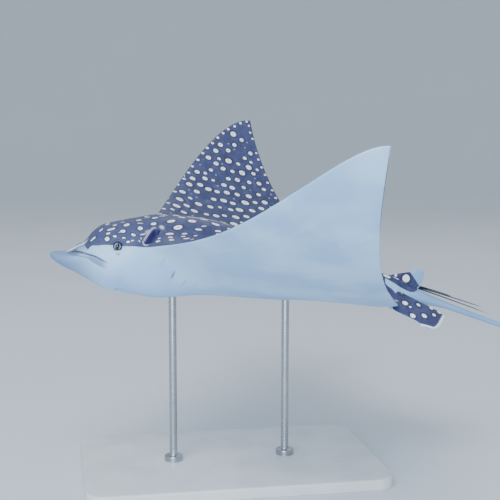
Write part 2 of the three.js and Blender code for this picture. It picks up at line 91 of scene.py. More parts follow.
def monotone(xs: np.ndarray, ys: np.ndarray, x: np.ndarray) -> np.ndarray:
    """Monotone cubic through a few knots, flat beyond the first and last.

    Args:
        xs: Rising places of the knots.
        ys: Values there.
        x: Places to look up.

    Returns:
        The curve's value at each place.
    """
    xs, ys = np.asarray(xs, float), np.asarray(ys, float)
    h = np.diff(xs)
    rise = np.diff(ys) / h
    tangent = np.zeros_like(ys)
    tangent[0], tangent[-1] = rise[0], rise[-1]
    if len(xs) > 2:
        before, after, a, b = rise[:-1], rise[1:], h[:-1], h[1:]
        same = before * after > 0
        safe_before, safe_after = np.where(same, before, 1), np.where(same, after, 1)
        mean = 3 * (a + b) / ((2 * b + a) / safe_before + (2 * a + b) / safe_after)
        tangent[1:-1] = np.where(same, mean, 0)
    at = np.clip(x, xs[0], xs[-1])
    i = np.clip(np.searchsorted(xs, at) - 1, 0, len(h) - 1)
    t = (at - xs[i]) / h[i]
    low = (2 * t ** 3 - 3 * t ** 2 + 1) * ys[i] + (t ** 3 - 2 * t ** 2 + t) * h[i] * tangent[i]
    high = (3 * t ** 2 - 2 * t ** 3) * ys[i + 1] + (t ** 3 - t ** 2) * h[i] * tangent[i + 1]
    return low + high


def bezier(controls: list[tuple[float, float]], count: int) -> np.ndarray:
    """Bezier curve by de Casteljau's repeated midway points.

    Args:
        controls: Its control points.
        count: How many steps to walk along it.

    Returns:
        One row for each point, count + 1 in all.
    """
    t = np.linspace(0, 1, count + 1)[:, None, None]
    level = np.broadcast_to(np.array(controls, float)[None], (count + 1, len(controls), 2))
    while level.shape[1] > 1:
        level = level[:, :-1] + t * (level[:, 1:] - level[:, :-1])
    return level[:, 0]


def running_line(at: np.ndarray, angle: np.ndarray) -> tuple[np.ndarray, np.ndarray]:
    """Line that leaves the origin and turns to a given angle at each place.

    Args:
        at: Evenly spaced places along it.
        angle: Its angle at each place, in radians.

    Returns:
        How far it has gone along and across: running sums of cosine and sine.
    """
    step = np.diff(at)
    along = np.concatenate([[0], np.cumsum(np.cos(angle[:-1]) * step)])
    across = np.concatenate([[0], np.cumsum(np.sin(angle[:-1]) * step)])
    return along, across


# ---------------------------------------------------------------- meshes and nodes


def linear(colour: str) -> tuple[float, float, float, float]:
    """Linear colour of an sRGB hex value.

    Args:
        colour: Six hex digits after a hash sign.

    Returns:
        Red, green, blue and an alpha of 1.
    """
    channels = [int(colour[i:i + 2], 16) / 255 for i in (1, 3, 5)]
    bent = [c / 12.92 if c <= 0.04045 else ((c + 0.055) / 1.055) ** 2.4 for c in channels]
    return (bent[0], bent[1], bent[2], 1.0)


def add_node(tree: bpy.types.NodeTree, kind: str, settings: dict | None = None,
             **sockets: object) -> bpy.types.Node:
    """Adds one node, sets it up and links it.

    Args:
        tree: The node tree it goes into.
        kind: The node's type name.
        settings: Properties of the node itself.
        sockets: Input values by name, spaces written as underscores, or by number as
            in_0. A value that is an output socket is linked, and any other is set.

    Returns:
        The new node.
    """
    node = tree.nodes.new(kind)
    for name, value in (settings or {}).items():
        setattr(node, name, value)
    for name, value in sockets.items():
        key = int(name[3:]) if name.startswith("in_") else name.replace("_", " ")
        if isinstance(value, bpy.types.NodeSocket):
            tree.links.new(value, node.inputs[key])
        else:
            node.inputs[key].default_value = value
    return node


def new_material(name: str) -> tuple[bpy.types.Material, bpy.types.NodeTree]:
    """New material with an empty node tree."""
    material = bpy.data.materials.new(name)
    material.use_nodes = True
    material.node_tree.nodes.clear()
    return material, material.node_tree


def close_material(tree: bpy.types.NodeTree, shader: bpy.types.Node) -> None:
    """Links the shader to the material's output."""
    add_node(tree, "ShaderNodeOutputMaterial", Surface=shader.outputs[0])


def blend_colours(tree: bpy.types.NodeTree, share: object, first: object, second: object,
                  blend: str = "MIX") -> bpy.types.NodeSocket:
    """Mix of two colours by a share, as an output socket."""
    settings = {"data_type": "RGBA", "blend_type": blend}
    node = add_node(tree, "ShaderNodeMix", settings, in_0=share, in_6=first, in_7=second)
    return node.outputs[2]


def ramp(tree: bpy.types.NodeTree, value: bpy.types.NodeSocket, low: float, high: float,
         start: float = 0.0, end: float = 1.0) -> bpy.types.NodeSocket:
    """Smooth step of a value between two limits, as an output socket."""
    settings = {"interpolation_type": "SMOOTHSTEP"}
    node = add_node(tree, "ShaderNodeMapRange", settings, Value=value, From_Min=low,
                    From_Max=high, To_Min=start, To_Max=end)
    return node.outputs[0]


def maths(tree: bpy.types.NodeTree, operation: str, first: object,
          second: object = 0.0) -> bpy.types.NodeSocket:
    """Sum, product or another operation on two values, as an output socket."""
    return add_node(tree, "ShaderNodeMath", {"operation": operation}, in_0=first,
                    in_1=second).outputs[0]


def grain(tree: bpy.types.NodeTree, place: bpy.types.NodeSocket, size: float, detail: float,
          roughness: float = 0.5) -> bpy.types.NodeSocket:
    """Noise whose patches are about size across, in metres, as an output socket."""
    return add_node(tree, "ShaderNodeTexNoise", Vector=place, Scale=1 / size, Detail=detail,
                    Roughness=roughness).outputs[0]


@dataclass
class Shell:
    """A closed surface in the body frame, with what its finish has to know.

    Each array of the finish has one value for a vertex: line is the distance above the
    border of the dark back, crease the depth of painted shade in folds, pits and slits,
    pale the share of pale over dark, which is pale skin and also a painted highlight on
    the spiracles' front rims, the lobe's bead and the bill's crown, hole is under one
    inside the spiracles, where painted shade fills them, and groove holds the offsets
    from the two lines beside the snout's lobe, in line widths, and where they run.
    """

    points: np.ndarray
    quads: np.ndarray
    triangles: np.ndarray
    line: np.ndarray
    crease: np.ndarray
    pale: np.ndarray
    hole: np.ndarray
    groove: np.ndarray

    @classmethod
    def plain(cls, points: np.ndarray, quads: np.ndarray, triangles: np.ndarray,
              line: np.ndarray | None = None, pale: np.ndarray | None = None) -> "Shell":
        """A shell without folds or holes, faces out.

        Args:
            points: All points.
            quads: Faces of four.
            triangles: Faces of three.
            line: Distance above the border of the dark back, or none.
            pale: Share of pale skin, or none.
        """
        none = np.zeros(len(points))
        line = none if line is None else line
        pale = none if pale is None else pale
        return cls(points, quads, triangles, line, none, pale, none + 3, 0 * points).outward()

    def outward(self) -> "Shell":
        """The same shell with its faces turned out, told by the sign of its volume."""
        a, b, c, d = (self.points[self.quads[:, i]] for i in range(4))
        volume = np.einsum("ij,ij->", a, np.cross(b, c)) + np.einsum("ij,ij->", a, np.cross(c, d))
        if volume < 0:
            self.quads = self.quads[:, ::-1]
            self.triangles = self.triangles[:, ::-1]
        return self


def closed_grid(points: np.ndarray, ends: tuple[np.ndarray, np.ndarray]) -> tuple[np.ndarray, ...]:
    """Closed tube through rings of points, with a pole at each end.

    Args:
        points: Rings of points, shaped rings by around by 3.
        ends: The two poles.

    Returns:
        All points in one list, the quads and the triangles.
    """
    rings, around = points.shape[:2]
    i, j = np.meshgrid(np.arange(rings - 1), np.arange(around), indexing="ij")
    k = (j + 1) % around
    quads = np.stack([i * around + j, i * around + k, (i + 1) * around + k, (i + 1) * around + j], -1)
    at = np.arange(around)
    nxt = (at + 1) % around
    first, last = rings * around, rings * around + 1
    start = (rings - 1) * around
    front = np.stack([np.full(around, first), nxt, at], -1)
    rear = np.stack([np.full(around, last), start + at, start + nxt], -1)
    everything = np.concatenate([points.reshape(-1, 3), np.asarray(ends)])
    return everything, quads.reshape(-1, 4), np.concatenate([front, rear])


def grid_normals(points: np.ndarray) -> np.ndarray:
    """Unit normals of a grid whose second direction closes on itself."""
    along = np.gradient(points, axis=0)
    around = np.roll(points, -1, 1) - np.roll(points, 1, 1)
    normal = np.cross(around, along)
    return normal / np.maximum(np.linalg.norm(normal, axis=-1, keepdims=True), 1e-12)


def make_piece(name: str, points: np.ndarray, faces: list[np.ndarray]) -> bpy.types.Object:
    """Smooth-shaded object with its place in its mesh.

    Args:
        name: The piece's name.
        points: One row for each vertex, in the display's frame.
        faces: Arrays of vertex numbers, one array for each count of corners.

    Returns:
        The new object.
    """
    mesh = bpy.data.meshes.new(name)
    mesh.from_pydata(points.tolist(), [], [face for group in faces for face in group.tolist()])
    mesh.polygons.foreach_set("use_smooth", np.ones(len(mesh.polygons), bool))
    mesh.update()
    piece = bpy.data.objects.new(name, mesh)
    bpy.context.scene.collection.objects.link(piece)
    return piece


def give_values(piece: bpy.types.Object, name: str, values: np.ndarray,
                domain: str = "POINT") -> None:
    """Stores a number or a vector for each vertex or face corner of a piece."""
    vector = values.ndim == 2
    kind, key = ("FLOAT_VECTOR", "vector") if vector else ("FLOAT", "value")
    attribute = piece.data.attributes.new(name, kind, domain)
    attribute.data.foreach_set(key, np.ascontiguousarray(values, np.float32).ravel())


def dress(piece: bpy.types.Object, material: bpy.types.Material,
          replaced: tuple[str, ...] = ()) -> None:
    """Gives a piece its material and the solids that it stands for."""
    piece.data.materials.clear()
    piece.data.materials.append(material)
    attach(piece, "root")
    if replaced:
        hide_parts(*replaced)
    log.info("%s: %d vertices, %d faces", piece.name, len(piece.data.vertices), len(piece.data.polygons))


# ---------------------------------------------------------------- the ray's form


@dataclass(frozen=True)
class Stroke:
    """How one wing is raised: its slope along the span, in degrees, and its twist.

    The slope at a fraction f of the span is root + rise f + curl f squared.
    """

    root: float
    rise: float
    curl: float
    twist: float


@dataclass
class RayForm:
    """The ray's form as a function of two parameters, in metres.

    The body frame has x back from the snout, y to the animal's right and z up. A point
    of the skin has a station along the animal and a parameter a, from 0 at the middle of
    the back or belly to 1 at the edge of the wing, or at the side where there is none.
    """

    sections: np.ndarray = field(default_factory=lambda: np.array([
        # from snout, half width, top, underside, side line
        (0.0095, 0.008, -0.038, -0.045, -0.0415),
        (0.013, 0.019, -0.0355, -0.048, -0.041),
        (0.029, 0.042, -0.0335, -0.056, -0.040),
        (0.046, 0.055, -0.0260, -0.062, -0.036),
        (0.060, 0.062, -0.0155, -0.066, -0.028),
        (0.072, 0.067, -0.0070, -0.0705, -0.020),
        (0.086, 0.072, 0.0185, -0.0755, -0.011),
        (0.103, 0.078, 0.036, -0.082, -0.004),
        (0.128, 0.087, 0.0475, -0.0895, 0.006),
        (0.170, 0.094, 0.0635, -0.0915, 0.010),
        (0.220, 0.102, 0.078, -0.087, 0.010),
        (0.320, 0.116, 0.086, -0.067, 0.006),
        (0.480, 0.105, 0.061, -0.0495, -0.002),
        (0.620, 0.074, 0.044, -0.0275, -0.001),
        (0.720, 0.042, 0.0405, -0.0245, 0.002),
        (0.790, 0.020, 0.029, -0.003, 0.012),
        (0.825, 0.013, 0.0245, 0.0045, 0.0145),
        (0.871, 0.0075, 0.0215, 0.0085, 0.0150),
        (0.990, 0.0046, 0.0170, 0.0078, 0.0125),
        (3.350, 0.0012, 0.0122, 0.0098, 0.011),
    ]))
    wing_root: tuple[float, float] = (0.150, 0.0905)
    leading: tuple[tuple[float, float], ...] = ((0.215, 0.099), (0.222, 0.283), (0.355, 0.681))
    wing_tip: tuple[float, float] = (0.469, 0.700)
    trailing: tuple[tuple[float, float], ...] = ((0.524, 0.391), (0.709, 0.175))
    wing_rear: tuple[float, float] = (0.741, 0.040)
    sweep: float = 0.22
    sweep_start: float = 0.100
    sweep_span: float = 0.600
    chord_x: tuple[float, ...] = (0.190, 0.320, 0.480, 0.720)
    chord_z: tuple[float, ...] = (0.0, -0.031, -0.027, -0.018)
    upper_half: float = 0.016
    lower_half: float = 0.014
    rim: float = 0.0006
    left: Stroke = Stroke(18.4, -30.1, 76.8, -0.5)
    right: Stroke = Stroke(12.2, 44.4, -7.2, 2.0)
    stroke_start: float = 0.080
    stroke_span: float = 0.620
    twist_axis: float = 0.520
    slope_x: tuple[float, ...] = (0.640, 0.820, 1.150, 1.750, 3.350)
    slope_deg: tuple[float, ...] = (0.0, 8.0, 8.0, -10.5, -13.0)
    tail_start: float = 0.600
    tail_tip: float = 3.350
    snout: float = 0.0095
    pitch: float = 11.23
    pivot_x: float = 0.350
    pivot: tuple[float, float] = (-0.024, 0.440)

    def __post_init__(self) -> None:
        """Works out the outline, the wings' bends and the tail's line once."""
        lead = bezier([self.wing_root, *self.leading, self.wing_tip], 90)
        trail = bezier([self.wing_tip, *self.trailing, self.wing_rear], 90)
        edge = np.concatenate([lead, trail[1:]])
        self.edge_station = np.maximum.accumulate(edge[:, 0] - self.lean(edge[:, 1]))
        self.edge_width = edge[:, 1]
        self.tip_station = self.wing_tip[0] - float(self.lean(np.array(self.wing_tip[1])))
        self.span_at = np.linspace(0, 0.720, 361)
        self.bends = {-1: self._stroke_line(self.left), 1: self._stroke_line(self.right)}
        self.tail_at = np.linspace(self.tail_start, 3.4, 1401)
        self.tail_angle = np.radians(monotone(self.slope_x, self.slope_deg, self.tail_at))
        self.tail_x, self.tail_z = running_line(self.tail_at, self.tail_angle)

    def lean(self, y: np.ndarray) -> np.ndarray:
        """How far a station leans back at a distance y from the middle."""
        return self.sweep * np.maximum(0, np.abs(y) - self.sweep_start) ** 1.5 / self.sweep_span ** 0.5

    def _stroke_line(self, stroke: Stroke) -> tuple[np.ndarray, np.ndarray, np.ndarray]:
        """Angle along one wing's span, and the line that it draws."""
        f = np.clip((self.span_at - self.stroke_start) / self.stroke_span, 0, 1)
        degrees = stroke.root + stroke.rise * f + stroke.curl * f ** 2
        angle = np.radians(degrees) * smooth(0.030, 0.160, self.span_at)
        along, across = running_line(self.span_at, angle)
        return angle, along, across

    def column(self, index: int, x: np.ndarray) -> np.ndarray:
        """One column of the table of sections at x, by a monotone cubic."""
        return monotone(self.sections[:, 0], self.sections[:, index], x)

    def half_widths(self, x: np.ndarray) -> tuple[np.ndarray, np.ndarray]:
        """Half width of the body alone, and of the whole ray with its wings."""
        body = self.column(1, x)
        wing = np.interp(x, self.edge_station, self.edge_width, left=0, right=0)
        return body, np.maximum(body, wing)

    def flat(self, x: np.ndarray, a: np.ndarray, side: np.ndarray, up: np.ndarray) -> np.ndarray:
        """Skin with its wings and tail laid out flat.

        Across, y = body sin(pi a / 2) + (whole - body) ((1 - cos pi a) / 2) to the 2.5.
        The height over the side line falls to the rim as (1 - r to the 2.3) to a power,
        and from the body to the wing as 1 / (1 + (q / k) to the m).
        """
        body, whole = self.half_widths(x)
        spread = ((1 - np.cos(np.pi * a)) / 2) ** 2.5
        y = body * np.sin(np.pi * a / 2) + (whole - body) * spread
        q = y / body
        r = np.clip(y / whole, 0, 1)
        front = smooth(0.150, 0.270, x)
        wing = front * (1 - smooth(0.660, 0.740, x))
        shoulder = smooth(0.120, 0.170, x) * (1 - smooth(0.740, 0.800, x))
        blunt = 0.5 + 0.35 * smooth(self.tip_station - 0.020, self.tip_station + 0.120, x) * wing
        edge = np.clip(1 - r ** 2.3, 0, 1) ** blunt
        slack = np.where(up > 0, 1.2 * smooth(0.150, 0.260, x), smooth(0.170, 0.320, x))
        bell = 1 - shoulder + shoulder / (1 + (q / (1.15 - 0.1 * slack)) ** (8 - 4 * slack))
        outward = 1 - 0.85 * np.clip(y / self.wing_tip[1], 0, 1)
        full = wing * (1 - 0.45 * smooth(0.350, 0.700, x))
        chord = monotone(self.chord_x, self.chord_z, x) * smooth(0.3, 1.3, q) * front
        chord = chord * (1 - smooth(0.700, 0.780, x)) * (1 - smooth(0.150, 0.600, y))
        line = self.column(4, x)
        top = self.column(2, x) - line - self.upper_half * full
        under = line - self.column(3, x) - self.lower_half * full
        above = edge * (top * bell + self.upper_half * full * outward) + self.rim
        below = edge * ((under + 0.9 * chord) * bell + self.lower_half * full * outward) + self.rim
        z = line + chord + np.where(up > 0, above, -below)
        return np.stack(np.broadcast_arrays(x + self.lean(y), side * y, z), -1)

    def raised(self, p: np.ndarray) -> np.ndarray:
        """Wings raised: y is laid along the bend and z stays square to it."""
        result = p.copy()
        y = np.abs(p[..., 1])
        f = np.clip((y - self.stroke_start) / self.stroke_span, 0, 1)
        for side, stroke in ((-1, self.left), (1, self.right)):
            angle_at, along, across = self.bends[side]
            angle = np.interp(y, self.span_at, angle_at)
            out = np.interp(y, self.span_at, along) - p[..., 2] * np.sin(angle)
            lift = np.interp(y, self.span_at, across) + p[..., 2] * np.cos(angle)
            twist = np.tan(np.radians(stroke.twist)) * f ** 2
            lift = lift - twist * (p[..., 0] - self.twist_axis) * np.cos(angle)
            here = p[..., 1] * side > 0
            result[..., 1] = np.where(here, side * out, result[..., 1])
            result[..., 2] = np.where(here, lift, result[..., 2])
        return result

    def trailed(self, p: np.ndarray, station: np.ndarray) -> np.ndarray:
        """Rear body and tail laid along the tail's bent line."""
        angle = np.interp(station, self.tail_at, self.tail_angle)
        ahead = p[..., 0] - station
        x = self.tail_start + np.interp(station, self.tail_at, self.tail_x)
        x = x + ahead * np.cos(angle) + p[..., 2] * np.sin(angle)
        z = p[..., 2] * np.cos(angle) - ahead * np.sin(angle) - np.interp(station, self.tail_at, self.tail_z)
        bent = np.stack(np.broadcast_arrays(x, p[..., 1], z), -1)
        return np.where(np.broadcast_to(station, p.shape[:-1])[..., None] > self.tail_start, bent, p)

    def placed(self, p: np.ndarray) -> np.ndarray:
        """From the body frame to the display's frame: nose up, and over the stand."""
        t = np.radians(self.pitch)
        x, z = p[..., 0] - self.pivot_x, p[..., 2]
        return np.stack([
            self.pivot[0] + x * np.cos(t) + z * np.sin(t),
            p[..., 1],
            self.pivot[1] - x * np.sin(t) + z * np.cos(t),
        ], -1)

    def bodily(self, x: np.ndarray, a: np.ndarray, side: np.ndarray, up: np.ndarray) -> np.ndarray:
        """Skin in the pose, still in the body frame."""
        return self.trailed(self.raised(self.flat(x, a, side, up)), x)

    def parameter(self, x: np.ndarray, y: np.ndarray) -> np.ndarray:
        """The parameter a at a distance y from the middle, by halving an interval."""
        low, high = np.zeros_like(x), np.ones_like(x)
        for _ in range(34):
            middle = (low + high) / 2
            short = np.abs(self.flat(x, middle, np.array(1), np.array(1))[..., 1]) < y
            low, high = np.where(short, middle, low), np.where(short, high, middle)
        return (low + high) / 2


@dataclass(frozen=True)
class View:
    """Where the camera stands, and how it maps a point to the 500 x 500 frame."""

    azimuth: float = -10.678
    elevation: float = 7.070
    roll: float = 0.085
    distance: float = 2.204
    focal: float = 1053.47
    image_width: float = 500.0
    target: tuple[float, float, float] = (0.0437, 0.0, 0.4657)

    def away(self) -> np.ndarray:
        """Direction from the target to the camera."""
        azimuth, elevation = np.radians(self.azimuth), np.radians(self.elevation)
        return np.array([np.sin(azimuth) * np.cos(elevation), -np.cos(azimuth) * np.cos(elevation),
                         np.sin(elevation)])

    def pixels(self, points: np.ndarray) -> tuple[np.ndarray, np.ndarray]:
        """Places in the frame of points of the scene, and their depth."""
        away, azimuth = self.away(), np.radians(self.azimuth)
        right = np.array([np.cos(azimuth), np.sin(azimuth), 0])
        offset = points - np.array(self.target) - away * self.distance
        depth = -(offset @ away)
        shift = np.stack([offset @ right, -(offset @ np.cross(away, right))], -1)
        return self.image_width / 2 + self.focal * shift / depth[..., None], depth

    def nearest(self, seen: np.ndarray, depth: np.ndarray, place: tuple[float, float]) -> tuple[int, int]:
        """Grid indices of the point that a pixel shows: the foremost of those at that pixel."""
        far = np.sum((seen - np.array(place)) ** 2, -1)
        within = 0.3
        order = np.where(far < within, depth, 9 + far)
        return np.unravel_index(np.argmin(order), far.shape)


def seen_curve(form: RayForm, pixels: tuple[tuple[float, float], ...],
               stations: tuple[float, float] = (0.020, 0.200)) -> tuple[np.ndarray, np.ndarray]:
    """Stations and heights of the near side's points that pixels of the frame show.

    Args:
        form: The ray's form.
        pixels: Across and down the frame, from front to rear.
        stations: The stretch of the body that is searched.

    Returns:
        Stations and posed heights.
    """
    x, a = np.meshgrid(np.linspace(*stations, 1000), np.linspace(0, 1, 600), indexing="ij")
    near = np.array(Side.LEFT.value)
    faces = np.stack([form.bodily(x, a, near, np.array(above)) for above in (1, -1)])
    seen, _ = View().pixels(form.placed(faces))
    found = []
    for place in pixels:
        far = np.sum((seen - np.array(place)) ** 2, -1)
        found.append(np.unravel_index(np.argmin(far), far.shape))
    return np.array([x[i[1:]] for i in found]), np.array([faces[i][2] for i in found])


# ---------------------------------------------------------------- relief of the skin


def far_from_segment(p: np.ndarray, start: np.ndarray, end: np.ndarray) -> tuple[np.ndarray, np.ndarray]:
    """Distance of points to a straight piece, and the share of the way along it."""
    way = end - start
    t = np.clip(((p - start) @ way) / (way @ way), 0, 1)
    return np.linalg.norm(p - (start + t[..., None] * way), axis=-1), t


@dataclass
class Relief:
    """What one feature adds to the skin: height out of it, shade and paleness."""

    height: np.ndarray
    crease: np.ndarray
    pale: np.ndarray
    hole: np.ndarray | float = 3.0

    @staticmethod
    def flat(shape: tuple[int, ...]) -> "Relief":
        """A relief of nothing."""
        return Relief(np.zeros(shape), np.zeros(shape), np.zeros(shape))

    def add(self, other: "Relief") -> None:
        """Adds another feature; shade and paleness keep the greater of the two."""
        self.height += other.height
        self.crease = np.maximum(self.crease, other.crease)
        self.pale = np.maximum(self.pale, other.pale)
        self.hole = np.minimum(self.hole, other.hole)


@dataclass
class EyeSocket:
    """Round socket with a low lid all the way round, for a ball set deep in the head."""

    centre: tuple[float, float, float] = (0.1322, 0.0800, 0.0073)
    opening: float = 0.0082
    depth: float = 0.013
    lid: float = 0.0016
    lid_width: float = 0.0017

    def relief(self, p: np.ndarray) -> Relief:
        """Inside the opening the skin falls in; the lid is a ring exp(-(d / w) squared).
        Painted shade darkens the inside of the opening and the furrow round the lid.
        """
        x, y, z = self.centre
        r = np.hypot(p[..., 0] - x, p[..., 2] - z)
        near = np.abs(np.abs(p[..., 1]) - y) < 0.030
        hole = 1 - smooth(self.opening - 0.0010, self.opening + 0.0008, r)
        ring = np.exp(-((r - self.opening - self.lid_width) / self.lid_width) ** 2)
        furrow = np.exp(-((r - self.opening - 3.2 * self.lid_width) / self.lid_width) ** 2)
        brow = np.exp(-(r / 0.024) ** 2) * smooth(-0.004, 0.016, p[..., 2] - z) * 0.0022
        height = self.lid * ring - 0.0005 * furrow + brow - self.depth * hole
        inside = 1 - smooth(self.opening - 0.0002, self.opening + 0.0016, r)
        crease = np.maximum(0.95 * inside, 0.30 * furrow)
        return Relief(height * near, crease * near, 0 * r)


@dataclass
class Spiracle:
    """Bean-shaped opening behind the eye, leaning back at its top, with a raised front rim painted pale as a
    highlight, and painted shade inside.
    """

    foot: tuple[float, float, float] = (0.1884, 0.1080, 0.0314)
    top: tuple[float, float, float] = (0.1996, 0.0886, 0.0506)
    half: float = 0.0112
    pale_front: tuple[float, float, float] = (0.1850, 0.0850, 0.0450)
    pale_behind: tuple[float, float, float] = (0.2110, 0.0800, 0.0590)
    depth: float = 0.016
    rim: float = 0.0016

    def relief(self, p: np.ndarray) -> Relief:
        """A hollow around a straight piece, wider at its foot; its rim stands out in front, and is painted
        pale there as a highlight.
        """
        mirrored = np.stack([p[..., 0], np.abs(p[..., 1]), p[..., 2]], -1)
        far, t = far_from_segment(mirrored, np.array(self.foot), np.array(self.top))
        half = self.half * (1.04 - 0.26 * t)
        line_x = self.foot[0] + (self.top[0] - self.foot[0]) * t
        ahead = smooth(-0.002, 0.004, line_x - mirrored[..., 0])
        hole = 1 - smooth(0.55, 1.00, far / half)
        lip = np.exp(-((far - half - 0.0012) / 0.0012) ** 2)
        height = self.rim * lip * (0.35 + ahead) - self.depth * hole
        # painted highlight on the front of the rim
        pale = 0.55 * lip * ahead
        front = np.linalg.norm(mirrored - self.pale_front, axis=-1)
        pale = np.maximum(pale, 0.30 * (1 - smooth(0.0030, 0.0080, front)))
        behind = np.linalg.norm(mirrored - self.pale_behind, axis=-1)
        pale = np.maximum(pale, 0.60 * (1 - smooth(0.0030, 0.0062, behind)))
        # far / half goes to the finish, which fills the inside with painted shade
        return Relief(height, 0 * far, pale, far / half)


@dataclass
class LobeGroove:
    """Groove on each side of the head, between the cheek and the lobe of the snout.

    Its upper and lower lines are curves of height over x, and the strip between them
    carries fine ridges. The lines and the strip are darkened with painted shade, the
    ridges exist only as painted shade, and a low bead in the strip is painted pale as a
    highlight.
    """

    form: RayForm
    # pixels of the frame that each line passes through, front to rear
    upper_pixels: tuple[tuple[float, float], ...] = (
        (68.1, 251.8), (69.8, 250.2), (76.4, 251.0), (81.9, 252.1), (86.3, 254.0), (88.5, 254.8),
        (95.1, 256.8), (101.8, 260.4), (107.3, 263.4),
    )
    lower_pixels: tuple[tuple[float, float], ...] = (
        (76.4, 255.7), (81.9, 256.8), (87.4, 258.5), (91.8, 261.8), (97.4, 265.1),
    )
    lower_start: tuple[float, float] = (0.040, -0.030)
    lower_end: tuple[float, float] = (0.118, -0.043)
    depth: float = 0.0022
    foot_width: float = 0.0011

    def __post_init__(self) -> None:
        """Sets both lines on the body."""
        self.upper = seen_curve(self.form, self.upper_pixels)
        seen = seen_curve(self.form, self.lower_pixels)
        self.lower = [np.concatenate([[first], middle, [last]])
                      for first, middle, last in zip(self.lower_start, seen, self.lower_end)]

    def lines(self, p: np.ndarray) -> np.ndarray:
        """Height above the upper and the lower line, in line widths, and where they run."""
        x, z = p[..., 0], p[..., 2]
        side = smooth(0.014, 0.030, np.abs(p[..., 1]))
        there = smooth(0.036, 0.050, x) * (1 - smooth(0.104, 0.124, x)) * side
        width = 0.0009 + 0.0008 * smooth(0.066, 0.084, x)
        high = (z - monotone(*self.upper, x)) / width
        low = (z - monotone(*self.lower, x)) / self.foot_width
        return np.stack([np.clip(high, -12, 12), np.clip(low, -12, 12), there], -1)

    def relief(self, p: np.ndarray) -> Relief:
        """Deep under the cheek's edge, shallower at the lower line, gone at both ends."""
        x, z = p[..., 0], p[..., 2]
        high, low = monotone(*self.upper, x), monotone(*self.lower, x)
        there = self.lines(p)[..., 2]
        edge = np.exp(-((z - high) / 0.0018) ** 2)
        foot = np.exp(-((z - low) / 0.0015) ** 2)
        strip = smooth(0, 0.001, high - z) * smooth(0, 0.001, z - low)
        cheek = np.exp(-((z - high - 0.0042) / 0.0036) ** 2) * 0.0018
        bead = np.exp(-((z - low - 0.0032) / 0.0014) ** 2)
        bead = bead * smooth(0.058, 0.064, x) * (1 - smooth(0.078, 0.084, x))
        cut = self.depth * edge + 0.5 * self.depth * foot + 0.0008 * strip
        height = there * (cheek + 0.0009 * bead - cut)
        notch = 1 - smooth(0.4, 1.1, np.hypot((x - 0.0768) / 0.0020, (z + 0.0092) / 0.0036))
        side = np.abs(p[..., 1]) > 0.03
        # the bead is painted pale as a highlight
        return Relief(height, 0.75 * notch * side, 0.9 * bead * there)


@dataclass
class BillFurrow:
    """Soft dark stripes along the bill's flat top, beside its white crown; the crown is painted white partly
    as the highlight along the bill's top.
    """

    start: float = 0.034
    end: float = 0.073
    half: float = 0.0340
    streak: float = 0.0130
    depth: float = 0.0004

    def relief(self, p: np.ndarray) -> Relief:
        """Shade between the streak's edge and the band's edge, and the faintest of dips there."""
        x, y = p[..., 0], np.abs(p[..., 1])
        above = smooth(-0.040, -0.034, p[..., 2])
        along = smooth(self.start, self.start + 0.012, x) * above
        along = along * (1 - smooth(self.end, self.end + 0.006, x))
        band = smooth(self.streak, self.streak + 0.003, y) * (1 - smooth(self.half, self.half + 0.003, y))
        # the crown is painted pale, partly as a highlight
        crown = 1 - smooth(self.streak - 0.002, self.streak, y)
        return Relief(-self.depth * along * band, 0.50 * along * band, 0.7 * along * crown)


@dataclass
class Mouth:
    """Mouth, nostrils and the fringed flap between them, on the underside of the head."""

    x: float = 0.1450
    half_width: float = 0.0455
    gape: float = 0.0017
    depth: float = 0.006
    nostril: tuple[float, float] = (0.1285, 0.0255)
    flap_front: float = 0.120
    fringe_pitch: float = 0.0034

    def relief(self, p: np.ndarray) -> Relief:
        """A curved slit, x = middle + y squared, behind a flap whose rear edge is a wave."""
        x, y = p[..., 0], np.abs(p[..., 1])
        under = smooth(0.030, 0.050, -p[..., 2])
        slit_x = self.x + 3.8 * y ** 2
        across = 1 - smooth(self.half_width - 0.006, self.half_width + 0.002, y)
        slit = np.exp(-((x - slit_x) / self.gape) ** 2) * across
        fringe = 0.0008 * np.cos(2 * np.pi * y / self.fringe_pitch)
        flap = smooth(self.flap_front, self.flap_front + 0.010, x)
        flap = flap * (1 - smooth(slit_x - 0.0035 + fringe, slit_x - 0.0015 + fringe, x))
        flap = flap * (1 - smooth(0.033, 0.039, y))
        jaw = np.exp(-((x - slit_x - 0.010) / 0.007) ** 2) * (1 - smooth(0.030, 0.048, y))
        hole = np.hypot((x - self.nostril[0]) / 0.0075, (y - self.nostril[1]) / 0.0046)
        pit = 1 - smooth(0.5, 1.15, hole)
        fold = np.exp(-((x - self.flap_front + 0.004) / 0.0026) ** 2) * (1 - smooth(0.022, 0.036, y))
        tooth = np.exp(-((x - slit_x - 0.0020) / 0.0016) ** 2) * (1 - smooth(0.016, 0.020, y))
        height = 0.0013 * flap + 0.0008 * jaw - self.depth * slit - 0.005 * pit - 0.0009 * fold
        # painted shade in the slit, the nostrils and the fold ahead of the flap
        crease = np.maximum.reduce([0.85 * slit, 0.80 * pit, 0.12 * fold])
        return Relief(height * under, crease * under, 0.5 * tooth * under)


